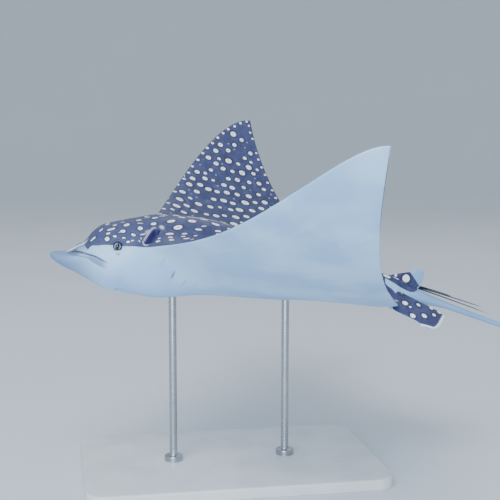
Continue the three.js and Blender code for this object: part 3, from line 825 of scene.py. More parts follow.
@dataclass
class Gills:
    """Five gill slits on each side of the underside, in a soft raised field."""

    count: int = 5
    first: tuple[float, float] = (0.2190, 0.1425)
    step: tuple[float, float] = (0.0240, -0.0030)
    length: float = 0.021
    lean: float = 0.17
    gape: float = 0.0014
    depth: float = 0.0026
    shades: tuple[float, ...] = (0.16, 0.80, 0.42, 0.22, 0.14)

    def relief(self, p: np.ndarray) -> Relief:
        """Each slit is a groove along a short curved line, with a soft flap ahead of it."""
        x, y = p[..., 0], np.abs(p[..., 1])
        result = Relief.flat(x.shape)
        lower = p[..., 2] < 0.008 + 0.25 * np.clip(y - 0.14, 0, 1)
        for i in range(self.count):
            along_x = x - self.first[0] - i * self.step[0]
            along_y = y - self.first[1] - i * self.step[1]
            v = along_y * np.cos(self.lean) + along_x * np.sin(self.lean)
            u = along_x * np.cos(self.lean) - along_y * np.sin(self.lean) + 9 * v ** 2
            ends = 1 - smooth(0.30 * self.length, 0.52 * self.length, np.abs(v))
            groove = np.exp(-(u / self.gape) ** 2) * ends * lower
            flap = np.exp(-((u + 0.0042) / 0.0038) ** 2) * ends * lower
            shade = self.shades[i] * groove + 0.04 * flap
            result.add(Relief(0.0009 * flap - self.depth * groove, shade, 0 * x))
        return result


@dataclass
class CheekFold:
    """Short crease in the white cheek, below and behind the eye, darkened with painted shade."""

    middle: tuple[float, float] = (0.1356, -0.0085)
    half: tuple[float, float] = (0.0052, 0.0030)

    def relief(self, p: np.ndarray) -> Relief:
        """A small oval dip, filled with painted shade."""
        across = (p[..., 0] - self.middle[0]) / self.half[0]
        far = np.hypot(across, (p[..., 2] - self.middle[1]) / self.half[1])
        dip = (1 - smooth(0.4, 1.2, far)) * (np.abs(p[..., 1]) > 0.05)
        return Relief(-0.0007 * dip, 0.60 * dip, 0 * far)


@dataclass
class SoftForms:
    """Broad soft forms: the muscle of the wings, the furrow of the back, the vent."""

    def relief(self, flat: np.ndarray, upper: np.ndarray) -> Relief:
        """Long low ridges fan out over the wing; the back and belly have a soft furrow."""
        x, y = flat[..., 0], np.abs(flat[..., 1])
        fan = np.arctan2(x - 0.10, y + 0.10)
        reach = smooth(0.14, 0.26, y) * (1 - smooth(0.52, 0.68, y)) * smooth(0.02, 0.10, x - 0.2)
        ribs = np.sin(fan * 150) * 0.00022 * reach
        spine = np.exp(-(y / 0.010) ** 2) * smooth(0.20, 0.32, x) * (1 - smooth(0.64, 0.72, x))
        crown = np.exp(-(y / 0.026) ** 2) * smooth(0.100, 0.130, x) * (1 - smooth(0.19, 0.23, x))
        vent = np.hypot((x - 0.702) / 0.015, y / 0.0042)
        pit = (1 - smooth(0.4, 1.1, vent)) * ~upper
        height = ribs + np.where(upper, -0.0016 * spine - 0.0016 * crown, 0) - 0.003 * pit
        # painted shade in the vent's pit
        return Relief(height, 0.7 * pit, 0 * x)


# ---------------------------------------------------------------- the skin's shells


@dataclass
class BodyShell:
    """Head, trunk, wings and tail as one closed surface."""

    form: RayForm
    socket: EyeSocket = field(default_factory=EyeSocket)
    upper_points: int = 80
    lower_points: int = 60
    stations: int = 300
    snout_rings: int = 4
    snout_turn: float = 0.86
    # pixels of the frame on the border between dark back and pale side, front to rear
    border_pixels: tuple[tuple[float, float], ...] = (
        (85, 246), (86, 248), (88, 249), (90, 247.5), (92, 246), (97, 246), (104, 245.3), (112, 245.5),
    )
    flank_top_pixels: tuple[tuple[float, float], ...] = ((383, 276), (395, 283), (403, 288))
    flank_foot_pixels: tuple[tuple[float, float], ...] = ((386, 284), (395, 292))

    def density(self, x: np.ndarray) -> np.ndarray:
        """Stations for each millimetre: close on the head, wide apart on the tail."""
        head = 0.20 + 0.52 * (smooth(0.026, 0.040, x) - smooth(0.120, 0.130, x))
        head = head + 0.38 * (smooth(0.120, 0.130, x) - smooth(0.212, 0.225, x))
        head = head + 0.24 * (smooth(0.212, 0.225, x) - smooth(0.318, 0.335, x))
        head = head + 0.9 * np.exp(-(x - self.form.snout) / 0.007)
        tip = 0.55 * np.exp(-((x - self.form.tip_station) / 0.006) ** 2)
        tail = smooth(0.80, 1.00, x)
        return (head + tip) * (1 - tail) + 0.0135 * tail

    def station_list(self) -> np.ndarray:
        """Stations at equal steps of the running sum of their density."""
        x = np.linspace(self.form.snout, self.form.tail_tip, 20001)
        total = np.cumsum(self.density(x))
        return np.interp(np.linspace(total[0], total[-1], self.stations), total, x)

    def quarter(self, count: int) -> np.ndarray:
        """Values of a that share out the girth evenly, as a mean over several stations."""
        a = np.linspace(0, 1, 1201)
        x = np.array([0.07, 0.10, 0.14, 0.20, 0.27, 0.34, 0.44, 0.56])[:, None]
        p = self.form.flat(x, a[None], np.array(1), np.array(1))
        step = np.linalg.norm(np.diff(p, axis=1), axis=-1)
        step = (step / step.sum(1, keepdims=True)).mean(0) + 0.15 / len(a)
        total = np.concatenate([[0], np.cumsum(step)])
        return np.interp(np.linspace(0, total[-1], count + 1), total, a)

    def build(self) -> Shell:
        """Grid of stations by ring, lifted by the relief along its own normals."""
        up, low = self.quarter(self.upper_points), self.quarter(self.lower_points)
        a = np.concatenate([up[:0:-1], up, low[::-1], low[1:]])
        side = np.concatenate([-np.ones(len(up) - 1), np.ones(len(up)), np.ones(len(low)),
                               -np.ones(len(low) - 1)])
        upper = np.concatenate([np.ones(2 * len(up) - 1, bool), np.zeros(2 * len(low) - 1, bool)])
        x = self.station_list()
        grid = [np.broadcast_to(g, (len(x), len(a))) for g in (x[:, None], a[None], side[None], upper[None])]
        flat = self.form.flat(*grid)
        posed = self.form.trailed(self.form.raised(flat), grid[0])
        relief = Relief.flat(grid[0].shape)
        lobe = LobeGroove(self.form)
        for feature in (self.socket, Spiracle(), lobe, BillFurrow(), Mouth(), Gills(), CheekFold()):
            relief.add(feature.relief(posed))
        relief.add(SoftForms().relief(flat, grid[3]))
        normal = grid_normals(posed)
        out = np.sign(np.sum(normal[150, 80] * (0, 0, 1)))
        lifted = posed + out * normal * relief.height[..., None]
        lifted, keep = self.round_snout(lifted)
        ends = (lifted[0].mean(0) - (0.0004, 0, 0), lifted[-1].mean(0))
        points, quads, triangles = closed_grid(lifted, ends)
        line = self.colour_line(flat, posed, grid)
        groove = lobe.lines(posed)
        values = [self.with_poles(v, keep) for v in (line, relief.crease, relief.pale, relief.hole)]
        groove = np.stack([self.with_poles(groove[..., k], keep) for k in range(3)], -1)
        return Shell(points, quads, triangles, *values, groove).outward()

    def round_snout(self, p: np.ndarray) -> tuple[np.ndarray, int]:
        """Adds rings that close the snout as a quarter round, 2 mm deep."""
        middle = p[0].mean(0)
        turn = np.linspace(np.pi / 2, 0, self.snout_rings + 1)[:-1, None, None]
        turn = turn * self.snout_turn
        rings = middle + (p[0] - middle) * np.cos(turn) - np.array([0.0020, 0, 0]) * np.sin(turn)
        return np.concatenate([rings, p]), self.snout_rings

    @staticmethod
    def with_poles(values: np.ndarray, extra: int) -> np.ndarray:
        """Values of the grid for the added snout rings and both poles as well."""
        rings = np.concatenate([np.repeat(values[:1], extra, 0), values])
        return np.concatenate([rings.ravel(), [values[0].mean(), values[-1].mean()]])

    def curve(self, ahead: tuple, pixels: tuple, behind: tuple, stations: tuple[float, float],
              x: np.ndarray) -> np.ndarray:
        """Height over x through chosen points ahead, points that pixels show, and chosen points behind."""
        middle = np.stack(seen_curve(self.form, pixels, stations), -1)
        points = np.concatenate([np.reshape(ahead, (-1, 2)), middle, np.reshape(behind, (-1, 2))])
        return monotone(points[:, 0], points[:, 1], x)

    def colour_line(self, flat: np.ndarray, posed: np.ndarray, grid: list[np.ndarray]) -> np.ndarray:
        """Distance along the ring above the border between dark back and pale belly.

        On the wings the border is the edge itself. On the head it is a height that
        changes with x, on the snout only the very top is dark, and on the tail's root
        the border climbs to the top.
        """
        x, _, _, upper = grid
        _, whole = self.form.half_widths(x)
        edge = (whole - np.abs(flat[..., 1])) + np.abs(flat[..., 2] - self.form.column(4, x)) * 0.5
        wrap = 0.0022 * smooth(self.form.tip_station, self.form.tip_station + 0.02, x)
        line = np.where(upper, edge + 0.0004, wrap - edge - 0.0004)
        border = self.curve(((0.066, 0.010), (0.0705, -0.002)), self.border_pixels,
                            ((0.146, 0.010), (0.173, 0.015)), (0.020, 0.200), x)
        on_head = 1 - smooth(0.150, 0.175, x)
        line = line * (1 - on_head) + (posed[..., 2] - border) * on_head
        rear = (0.690, 0.765)
        behind = ((0.770, 0.013), (0.786, 0.020), (0.800, 0.051))
        flank_top = self.curve((), self.flank_top_pixels, behind, rear, x)
        flank_top = flank_top - 0.001
        flank_foot = self.curve(((0.700, 0.026),), self.flank_foot_pixels, ((0.745, -0.030),), rear, x)
        bare = np.maximum(posed[..., 2] - flank_top, flank_foot - posed[..., 2])
        bare = np.where(x < 0.98, bare, posed[..., 2] * 0 - 0.010 + 0.022 * smooth(0.98, 1.30, x))
        return np.where(x > 0.700, np.minimum(line, bare), line)


def lens_shell(middle: np.ndarray, normal: np.ndarray, half: np.ndarray, t: np.ndarray,
               rim: float) -> tuple[np.ndarray, np.ndarray]:
    """Lens-shaped rings about the middle surface of a fin.

    Args:
        middle: Points of the middle surface, shaped steps by chord by 3.
        normal: Unit normal of the fin, one row or the same shape.
        half: Half thickness of each step at mid chord.
        t: Place along the chord from 0 at the front edge to 1 at the rear.
        rim: Half thickness of the edge.

    Returns:
        The rings, steps by around by 3, and +1 or -1 for the face each point is on.
    """
    swell = half[:, None] * np.sqrt(np.clip(1 - (2 * t - 1) ** 2, 0, 1)) * (1.15 - 0.45 * t) + rim
    over = middle + normal * swell[..., None]
    under = middle - normal * swell[..., None]
    rings = np.concatenate([over, under[:, ::-1]], 1)
    faces = np.concatenate([np.ones(len(t)), -np.ones(len(t))])
    return rings, np.broadcast_to(faces, rings.shape[:2])


def fin_grid(steps: int, chord: int) -> tuple[np.ndarray, np.ndarray, np.ndarray]:
    """Span 0 to 1, and chord 0 to 1 with points drawn to both edges."""
    s = 1 - (1 - np.linspace(0, 1, steps)) ** 1.6
    t = (1 - np.cos(np.pi * np.linspace(0, 1, chord))) / 2
    return s, t, s[:, None] + 0 * t[None]


@dataclass
class PelvicFin:
    """Strap-like fin that droops out from beside the tail's root, dark above."""

    form: RayForm
    side: Side
    base_front: float = 0.7135
    base_rear: float = 0.7530
    y: float = 0.0304
    z: float = 0.0070
    span: float = 0.090
    droop: float = 28.6
    pitch: float = -2.2
    root_half: float = 0.006
    rim: float = 0.0006
    margin: float = 0.0052

    def place(self, x: np.ndarray, s: np.ndarray) -> np.ndarray:
        """Point of the fin's middle surface at a station and a share of the span."""
        droop, pitch = np.radians(self.droop), np.radians(self.pitch)
        y = self.y + self.span * s * np.cos(droop)
        z = self.z - self.span * s * np.sin(droop) - (x - 0.7185) * np.sin(pitch)
        z = z - 0.004 * smooth(0.5, 1.0, s) * np.sin(droop)
        return self.form.trailed(np.stack([x, self.side.value * y, z], -1), x)

    def chord(self, s: np.ndarray) -> tuple[np.ndarray, np.ndarray]:
        """Front and rear stations: the rear edge runs far back, and the corners are round."""
        corner = 1 - np.sqrt(np.clip(1 - np.clip((s - 0.72) / 0.28, 0, 1) ** 2, 0, 1))
        front = self.base_front + 0.006 * smooth(0.3, 0.65, s)
        front = front + 0.0545 * smooth(0.62, 0.92, s) + 0.008 * corner
        rear = self.base_rear + 0.090 * smooth(-0.10, 0.38, s)
        return front, rear - 0.026 * np.clip(s - 0.4, 0, 1) / 0.6 - 0.012 * corner

    def build(self) -> Shell:
        """Lens sections from root to tip."""
        s, t, span = fin_grid(44, 40)
        front, rear = self.chord(s)
        x = front[:, None] + (rear - front)[:, None] * t[None]
        droop = np.radians(self.droop)
        normal = np.array([0, self.side.value * np.sin(droop), np.cos(droop)])
        half = self.root_half * (1 - s) ** 1.5 + 0.0014
        rings, face = lens_shell(self.place(x, span), normal, half, t, self.rim)
        points, quads, triangles = closed_grid(rings, (rings[0].mean(0), rings[-1].mean(0)))
        outer = (1 - span) * self.span
        behind = (rear[:, None] - x)
        edge = np.minimum(outer, behind * 0.8) - self.margin
        ahead = smooth(0.0, 0.010, x - front[:, None])
        line = np.concatenate([edge, edge[:, ::-1]], 1)
        ahead = np.concatenate([ahead, ahead[:, ::-1]], 1)
        line = np.where(face > 0, line * (0.5 + 0.5 * ahead), -0.004)
        line = np.concatenate([line.ravel(), [line[0].mean(), -0.004]])
        pale = 1 - smooth(self.margin - 0.002, self.margin + 0.001, np.minimum(outer, behind * 0.8))
        outer = smooth(0.25, 0.45, np.concatenate([span, span], 1))
        pale = 0.75 * np.concatenate([pale, 0 * pale], 1) * outer
        pale = np.concatenate([pale.ravel(), [0, 0]])
        return Shell.plain(points, quads, triangles, line, pale)


@dataclass
class DorsalFin:
    """Low dark fin whose pale rounded rear lobe stands free above the stings."""

    form: RayForm
    front: float = 0.700
    rear: float = 0.786
    lobe: float = 0.7930
    foot: float = 0.014
    height: float = 0.057
    half: float = 0.0036
    rim: float = 0.0006

    def build(self) -> Shell:
        """Lens sections from foot to top."""
        s, t, span = fin_grid(44, 44)
        height = self.foot + self.height * span
        round_off = 1 - np.sqrt(np.clip(1 - np.clip((s - 0.7) / 0.3, 0, 1) ** 2, 0, 1))
        front = self.front + 0.0375 * s + 0.088 * np.clip(s - 0.46, 0, 0.36)
        rear = self.rear + (self.lobe - self.rear) * smooth(0.20, 0.60, s) - 0.010 * round_off
        x = front[:, None] + (rear - front)[:, None] * t[None]
        middle = self.form.trailed(np.stack([x, 0 * x, height], -1), x)
        rings, _ = lens_shell(middle, np.array([0, 1.0, 0]), self.half * (1 - 0.5 * s), t, self.rim)
        points, quads, triangles = closed_grid(rings, (rings[0].mean(0), rings[-1].mean(0)))
        line = 0.7889 - 1.285 * (height - 0.0376) - x
        line = np.concatenate([line, line[:, ::-1]], 1)
        line = np.concatenate([line.ravel(), [line[0].mean(), line[-1].mean()]])
        return Shell.plain(points, quads, triangles, line)


# ---------------------------------------------------------------- the spots


@dataclass
class Spots:
    """White spots: middle, radius, how bright, and a stretch along one direction."""

    middle: np.ndarray = field(default_factory=lambda: np.zeros((0, 3)))
    radius: np.ndarray = field(default_factory=lambda: np.zeros(0))
    tone: np.ndarray = field(default_factory=lambda: np.zeros(0))
    stretch: np.ndarray = field(default_factory=lambda: np.zeros(0))
    way: np.ndarray = field(default_factory=lambda: np.zeros((0, 3)))

    def extend(self, middle: np.ndarray, radius: np.ndarray, tone: np.ndarray,
               stretch: np.ndarray | None = None, way: np.ndarray | None = None) -> None:
        """Adds more spots, round ones where no stretch is given."""
        count = len(middle)
        self.middle = np.concatenate([self.middle, middle])
        self.radius = np.concatenate([self.radius, np.broadcast_to(radius, count)])
        self.tone = np.concatenate([self.tone, np.broadcast_to(tone, count)])
        self.stretch = np.concatenate([self.stretch, np.ones(count) if stretch is None else stretch])
        self.way = np.concatenate([self.way, np.tile([1.0, 0, 0], (count, 1)) if way is None else way])

    def corners(self, points: np.ndarray, faces: np.ndarray) -> tuple[np.ndarray, np.ndarray]:
        """Offset from its nearest spot, in radii, for each corner of each face.

        A face belongs to one spot, the one nearest to its middle in radii, so that the
        offset is exact all over the face and the spot is round however coarse the mesh.

        Args:
            points: The surface's points.
            faces: Vertex numbers, faces by corners.

        Returns:
            The offsets and the tone of each corner's spot.
        """
        corner = points[faces]
        centre = corner.mean(1)
        best = np.full(len(faces), 1e9)
        owner = np.zeros(len(faces), int)
        for i in range(len(self.radius)):
            away = centre - self.middle[i]
            along = away @ self.way[i]
            away = away - np.outer(along * (1 - 1 / self.stretch[i]), self.way[i])
            far = np.einsum("ij,ij->i", away, away) / self.radius[i] ** 2
            nearer = far < best
            best[nearer] = far[nearer]
            owner[nearer] = i
        away = corner - self.middle[owner][:, None]
        way = self.way[owner][:, None]
        along = np.sum(away * way, -1, keepdims=True) * (1 - 1 / self.stretch[owner])[:, None, None]
        away = (away - along * way) / self.radius[owner][:, None, None]
        tone = np.repeat(self.tone[owner], faces.shape[1])
        return np.clip(away, -9, 9).reshape(-1, 3), tone


@dataclass(frozen=True)
class SeenMarks:
    """Marks of the near head and shoulder, given where the frame shows them.

    A row is across, down, length and breadth in pixels of the frame, lean in degrees
    and tone. Each mark is set on the body where that pixel meets it.
    """

    edge: float = 0.1
    least: float = 0.35
    ridge: float = 0.01
    longest: float = 4.2
    marks: tuple[tuple[float, ...], ...] = (
        (87.8, 237.8, 6.6, 1.5, 38, 1), (92.4, 238.8, 7.2, 1.8, 40, 1), (100.7, 229.8, 5.0, 1.5, 37, 0.9),
        (107.3, 223.7, 4.6, 1.1, 12, 0.6), (114.6, 224.7, 4.6, 1.3, 15, 0.9), (111.1, 229.0, 8.8, 2.0, 15, 1),
        (108.1, 233.4, 4.6, 2.0, 15, 1), (107.1, 238.8, 4.6, 4.4, 0, 1), (114.8, 236.4, 4.2, 2.4, -5, 1),
        (122.9, 231.0, 5.3, 3.1, 5, 1), (119.6, 232.2, 2.8, 1.1, 25, 0.8), (123.8, 237.8, 4.2, 2.0, -5, 1),
        (126.6, 224.5, 6.4, 2.6, 15, 1), (133.5, 234.6, 4.6, 2.6, -20, 1), (128.2, 241.7, 4.2, 2.4, 10, 1),
        (132.2, 240.4, 4.4, 1.3, 15, 0.95), (138.7, 219.5, 5.7, 1.3, 5, 1), (140.1, 222.9, 8.3, 1.0, 0, 0.6),
        (140.1, 227.9, 4.9, 3.7, 0, 1), (142.6, 234.0, 6.1, 1.3, 8, 0.75), (139.0, 240.8, 2.6, 1.3, -60, 0.8),
        (140.9, 238.1, 2.0, 1.1, -70, 0.8), (153.4, 223.4, 5.7, 2.6, 5, 1), (155.0, 217.2, 6.4, 1.5, 8, 1),
        (151.9, 214.4, 4.4, 0.9, 5, 0.6), (171.2, 220.7, 8.3, 2.6, 8, 1), (178.1, 227.0, 8.8, 4.4, 10, 1),
        (170.1, 233.5, 8.3, 2.2, 5, 1), (170.7, 236.9, 5.5, 1.5, 3, 1), (171.5, 239.5, 5.5, 1.8, 8, 1),
        (184.7, 233.3, 6.1, 1.5, 3, 1), (183.4, 236.0, 5.0, 1.3, 5, 0.9), (186.1, 238.2, 5.5, 1.3, 5, 0.9),
        (158.0, 241.0, 5.0, 1.8, 15, 1), (159.1, 238.1, 3.3, 1.3, 20, 0.7), (192.1, 220.6, 8.6, 2.5, -5, 1),
        (199.0, 229.1, 7.0, 1.9, -5, 1), (187.3, 238.1, 5.4, 1.4, 8, 0.9), (195.9, 235.3, 5.4, 1.1, 10, 0.8),
        (204.1, 225.7, 5.4, 1.2, 5, 0.8), (215.6, 223.7, 8.6, 1.9, -18, 1), (218.7, 220.1, 6.5, 1.1, -8, 0.9),
        (218.4, 230.7, 6.5, 1.9, -5, 1), (216.4, 233.8, 4.4, 1.2, 0, 0.9), (196.7, 215.7, 7.8, 1.6, -8, 1),
        (203.7, 213.4, 5.4, 1.4, -12, 1), (176.7, 215.1, 5.9, 1.9, -3, 1), (185.0, 209.7, 5.0, 1.6, -5, 1),
        (235.4, 225.5, 4.7, 1.6, -5, 0.9), (238.2, 221.2, 4.7, 1.2, 0, 0.8), (192.0, 238.7, 3.9, 1.1, 0, 0.7),
    )

    def on_form(self, form: RayForm, view: View) -> np.ndarray:
        """Rows of station in mm, a, radius in mm, stretch, its lean in degrees and tone."""
        stations = np.concatenate([np.linspace(0.0095, 0.3, 1100), np.linspace(0.3, 0.5, 300)])
        x, a = np.meshgrid(stations, np.linspace(0, 1, 800), indexing="ij")
        here = (np.array(Side.LEFT.value), np.array(1))
        seen, depth = view.pixels(form.placed(form.bodily(x, a, *here)))
        rows = []
        for across, down, length, breadth, lean, tone in self.marks:
            i = view.nearest(seen, depth, (across, down))
            station, ring = x[i], a[i]
            if ring < self.ridge:
                continue
            p = form.bodily(np.array(station), np.array(ring), *here)
            back = form.bodily(np.array(station + 0.002), np.array(ring), *here) - p
            back /= np.linalg.norm(back)
            rise = form.bodily(np.array(station), np.array(ring - self.ridge), *here) - p
            rise -= back * (rise @ back)
            rise /= np.linalg.norm(rise)
            step = 1e-4
            shown = [view.pixels(form.placed(p + way * step))[0] for way in (back, rise)]
            frame = (np.stack(shown, -1) - view.pixels(form.placed(p))[0][:, None]) / step
            turn = np.radians(lean)
            half = (length / 2, max(breadth / 2 - self.edge, self.least))
            oval = np.array([[half[0] * np.cos(turn), half[1] * np.sin(turn)],
                             [-half[0] * np.sin(turn), half[1] * np.cos(turn)]])
            axes, size, _ = np.linalg.svd(np.linalg.solve(frame, oval))
            tilt = np.degrees(np.arctan2(axes[1, 0], axes[0, 0]))
            stretch = min(size[0] / size[1], self.longest)
            rows.append((station / MM, ring, size[1] / MM, stretch, (tilt + 90) % 180 - 90, tone))
        return np.array(rows)


@dataclass
class SpotLayout:
    """Where the spots of the back lie.

    On the wings they stand in rows that follow the leading edge, large and small rows
    in turn, with fine dots along both edges themselves. On the head and the
    shoulders they are placed one by one, as each is a mark of its own.
    """

    form: RayForm
    seed: int = 41
    row_pitch: float = 0.0228
    first_row: float = 0.0240
    # marks along the middle of the back: station mm, a, radius mm, stretch, lean in degrees, tone
    back_marks: tuple[tuple[float, ...], ...] = (
        (109, 0.12, 2.6, 1.8, 0, 0.8), (138, 0.17, 3.0, 1.5, 0, 0.9), (186, 0.08, 4.0, 1.5, 0, 1),
        (214, 0.14, 4.6, 1.4, 0, 1), (222, 0.06, 3.6, 1.6, 0, 0.8), (246, 0.03, 4.2, 1.8, 0, 1),
        (254, 0.14, 6.4, 1.2, 0, 1), (300, 0.12, 6.6, 1.15, 0, 1), (346, 0.09, 6.8, 1.1, 0, 1),
        (352, 0.27, 5.4, 1.2, 0, 1),
    )

    def edge_rows(self, line: np.ndarray, inset: float, pitch: tuple[float, float],
                  start: float, inward: float) -> np.ndarray:
        """Places along a line inset from an edge of the wing.

        Args:
            line: Points of the edge from the wing's tip, in the plane of the wing.
            inset: How far inside the edge the row lies.
            pitch: Spacing at the tip and from a third of the way on.
            start: Where the first one stands, as a share of the pitch.
            inward: +1 or -1, which side of the line is the wing.

        Returns:
            One row for each place, x and y.
        """
        way = np.gradient(line, axis=0)
        way = way / np.linalg.norm(way, axis=1, keepdims=True)
        inset_line = line + inward * inset * np.stack([-way[:, 1], way[:, 0]], -1)
        step = np.linalg.norm(np.diff(inset_line, axis=0), axis=1)
        length = np.concatenate([[0], np.cumsum(step)])
        spacing = pitch[0] + (pitch[1] - pitch[0]) * smooth(0.0, 0.30, length)
        beats = np.concatenate([[0], np.cumsum(step / spacing[1:])])
        places = np.interp(np.arange(start, beats[-1], 1.0), beats, length)
        return np.stack([np.interp(places, length, inset_line[:, k]) for k in (0, 1)], -1)

    def on_wing(self, places: np.ndarray, side: Side) -> np.ndarray:
        """Points of the posed back above places of the flat wing."""
        x = places[:, 0] - self.form.lean(places[:, 1])
        a = self.form.parameter(x, places[:, 1])
        return self.form.bodily(x, a, np.array(side.value), np.array(1))

    def wing_places(self, rng: np.random.Generator) -> tuple[np.ndarray, np.ndarray, np.ndarray]:
        """Places, radii and tones over one wing and the trunk beside it.

        Candidates come in order of rank, and each is kept if it lies clear of those
        kept before: distance over radius + radius + a gap.
        """
        form = self.form
        lead = bezier([form.wing_root, *form.leading, form.wing_tip], 400)[::-1]
        trail = bezier([form.wing_tip, *form.trailing, form.wing_rear], 400)
        rank: list[tuple[np.ndarray, float, float, float, float]] = []
        rank.append((self.edge_rows(lead, 0.0060, (0.022, 0.0300), 0.4, 1), 0.0040, 0.95, 0.0010, 0.004))
        rank.append((self.edge_rows(trail, 0.0060, (0.022, 0.0270), 0.9, -1), 0.0036, 0.95, 0.0012, 0.003))
        for k in range(30):
            inset = self.first_row + self.row_pitch * k
            row = self.edge_rows(lead, inset, (0.0310, 0.0330), 0.5 * (k % 2), 1)
            rank.append((row, (0.0074, 0.0060)[k % 2], 1.0, 0.0022, 0.0075))
        filler = rng.uniform((0.19, 0.0), (0.77, 0.70), (1500, 2))
        rank.append((filler[:700], 0.0044, 0.95, 0, 0.0085))
        rank.append((filler[700:], 0.0022, 0.36, 0, 0.0075))
        outline = np.concatenate([lead[::-1], trail[1:]])
        kept, radii, tones = np.zeros((0, 2)), np.zeros(0), np.zeros(0)
        for row, radius, tone, jitter, gap in rank:
            moved = row + rng.normal(0, 1, row.shape) * jitter
            sizes = radius * rng.uniform(0.84, 1.12, len(row))
            glow = tone * rng.uniform(0.86, 1.0, len(row))
            for place, size, shine in zip(moved, sizes, glow):
                margin = self.margin_at(place, outline)
                clear = np.linalg.norm(kept - place, axis=1) - radii - size - gap
                if margin > 0.9 * size + 0.0008 and (len(clear) == 0 or clear.min() > 0):
                    kept = np.concatenate([kept, place[None]])
                    radii = np.append(radii, size)
                    tones = np.append(tones, shine)
        return kept, radii, tones

    @staticmethod
    def margin_at(place: np.ndarray, outline: np.ndarray) -> float:
        """How far inside the wing's outline a place lies, or -1 outside it."""
        x, y = place
        tip = int(np.argmax(outline[:, 1]))
        lead_x = np.interp(y, outline[:tip + 1, 1], outline[:tip + 1, 0])
        rear_x = np.interp(y, outline[tip:, 1][::-1], outline[tip:, 0][::-1])
        if not max(lead_x, 0.19) < x < rear_x:
            return -1.0
        return float(np.linalg.norm(outline - place, axis=1).min()) if y > 0.05 else 0.02

    def on_body(self) -> Spots:
        """All spots of head, trunk and wings."""
        rng = np.random.default_rng(self.seed)
        spots = Spots()
        marks = np.concatenate([SeenMarks().on_form(self.form, View()), np.array(self.back_marks)])
        for side in Side:
            own = marks.copy()
            if side is Side.RIGHT:
                own[:, 0] += rng.normal(0, 2.2, len(own))
                own[:, 1] = np.clip(own[:, 1] + rng.normal(0, 0.014, len(own)), 0.02, 0.94)
            x, a = own[:, 0] * MM, own[:, 1]
            here = (np.array(side.value), np.array(1))
            place = self.form.bodily(x, a, *here)
            back = self.form.bodily(x + 0.002, a, *here) - place
            back /= np.linalg.norm(back, axis=1, keepdims=True)
            rise = self.form.bodily(x, a - 0.01, *here) - place
            rise -= back * np.sum(rise * back, axis=1, keepdims=True)
            rise /= np.linalg.norm(rise, axis=1, keepdims=True)
            lean = np.radians(own[:, 4])[:, None]
            way = back * np.cos(lean) + rise * np.sin(lean)
            spots.extend(place, own[:, 2] * MM, own[:, 5], own[:, 3], way)
            kept, radii, tones = self.wing_places(rng)
            on_skin = self.on_wing(kept, side)
            clear = np.linalg.norm(on_skin[:, None] - place[None], axis=-1) - radii[:, None] - own[:, 2] * MM
            free = clear.min(1) > 0.007
            shoulder = (kept[:, 0] < 0.345) & (kept[:, 1] < 0.24)
            free &= ~shoulder
            ahead = self.on_wing(kept - (0.002, 0), side)
            chord = (on_skin - ahead) / np.linalg.norm(on_skin - ahead, axis=1, keepdims=True)
            out = smooth(0.30, 0.50, kept[:, 1]) + smooth(0.50, 0.66, kept[:, 1])
            drawn = np.interp(out, [0, 1, 2], [1.75, 1.05, 0.84])
            radii = radii * np.interp(out, [0, 1, 2], [0.72, 1.0, 1.12])
            spots.extend(on_skin[free], radii[free], tones[free], drawn[free], chord[free])
        return spots


# ---------------------------------------------------------------- finishes


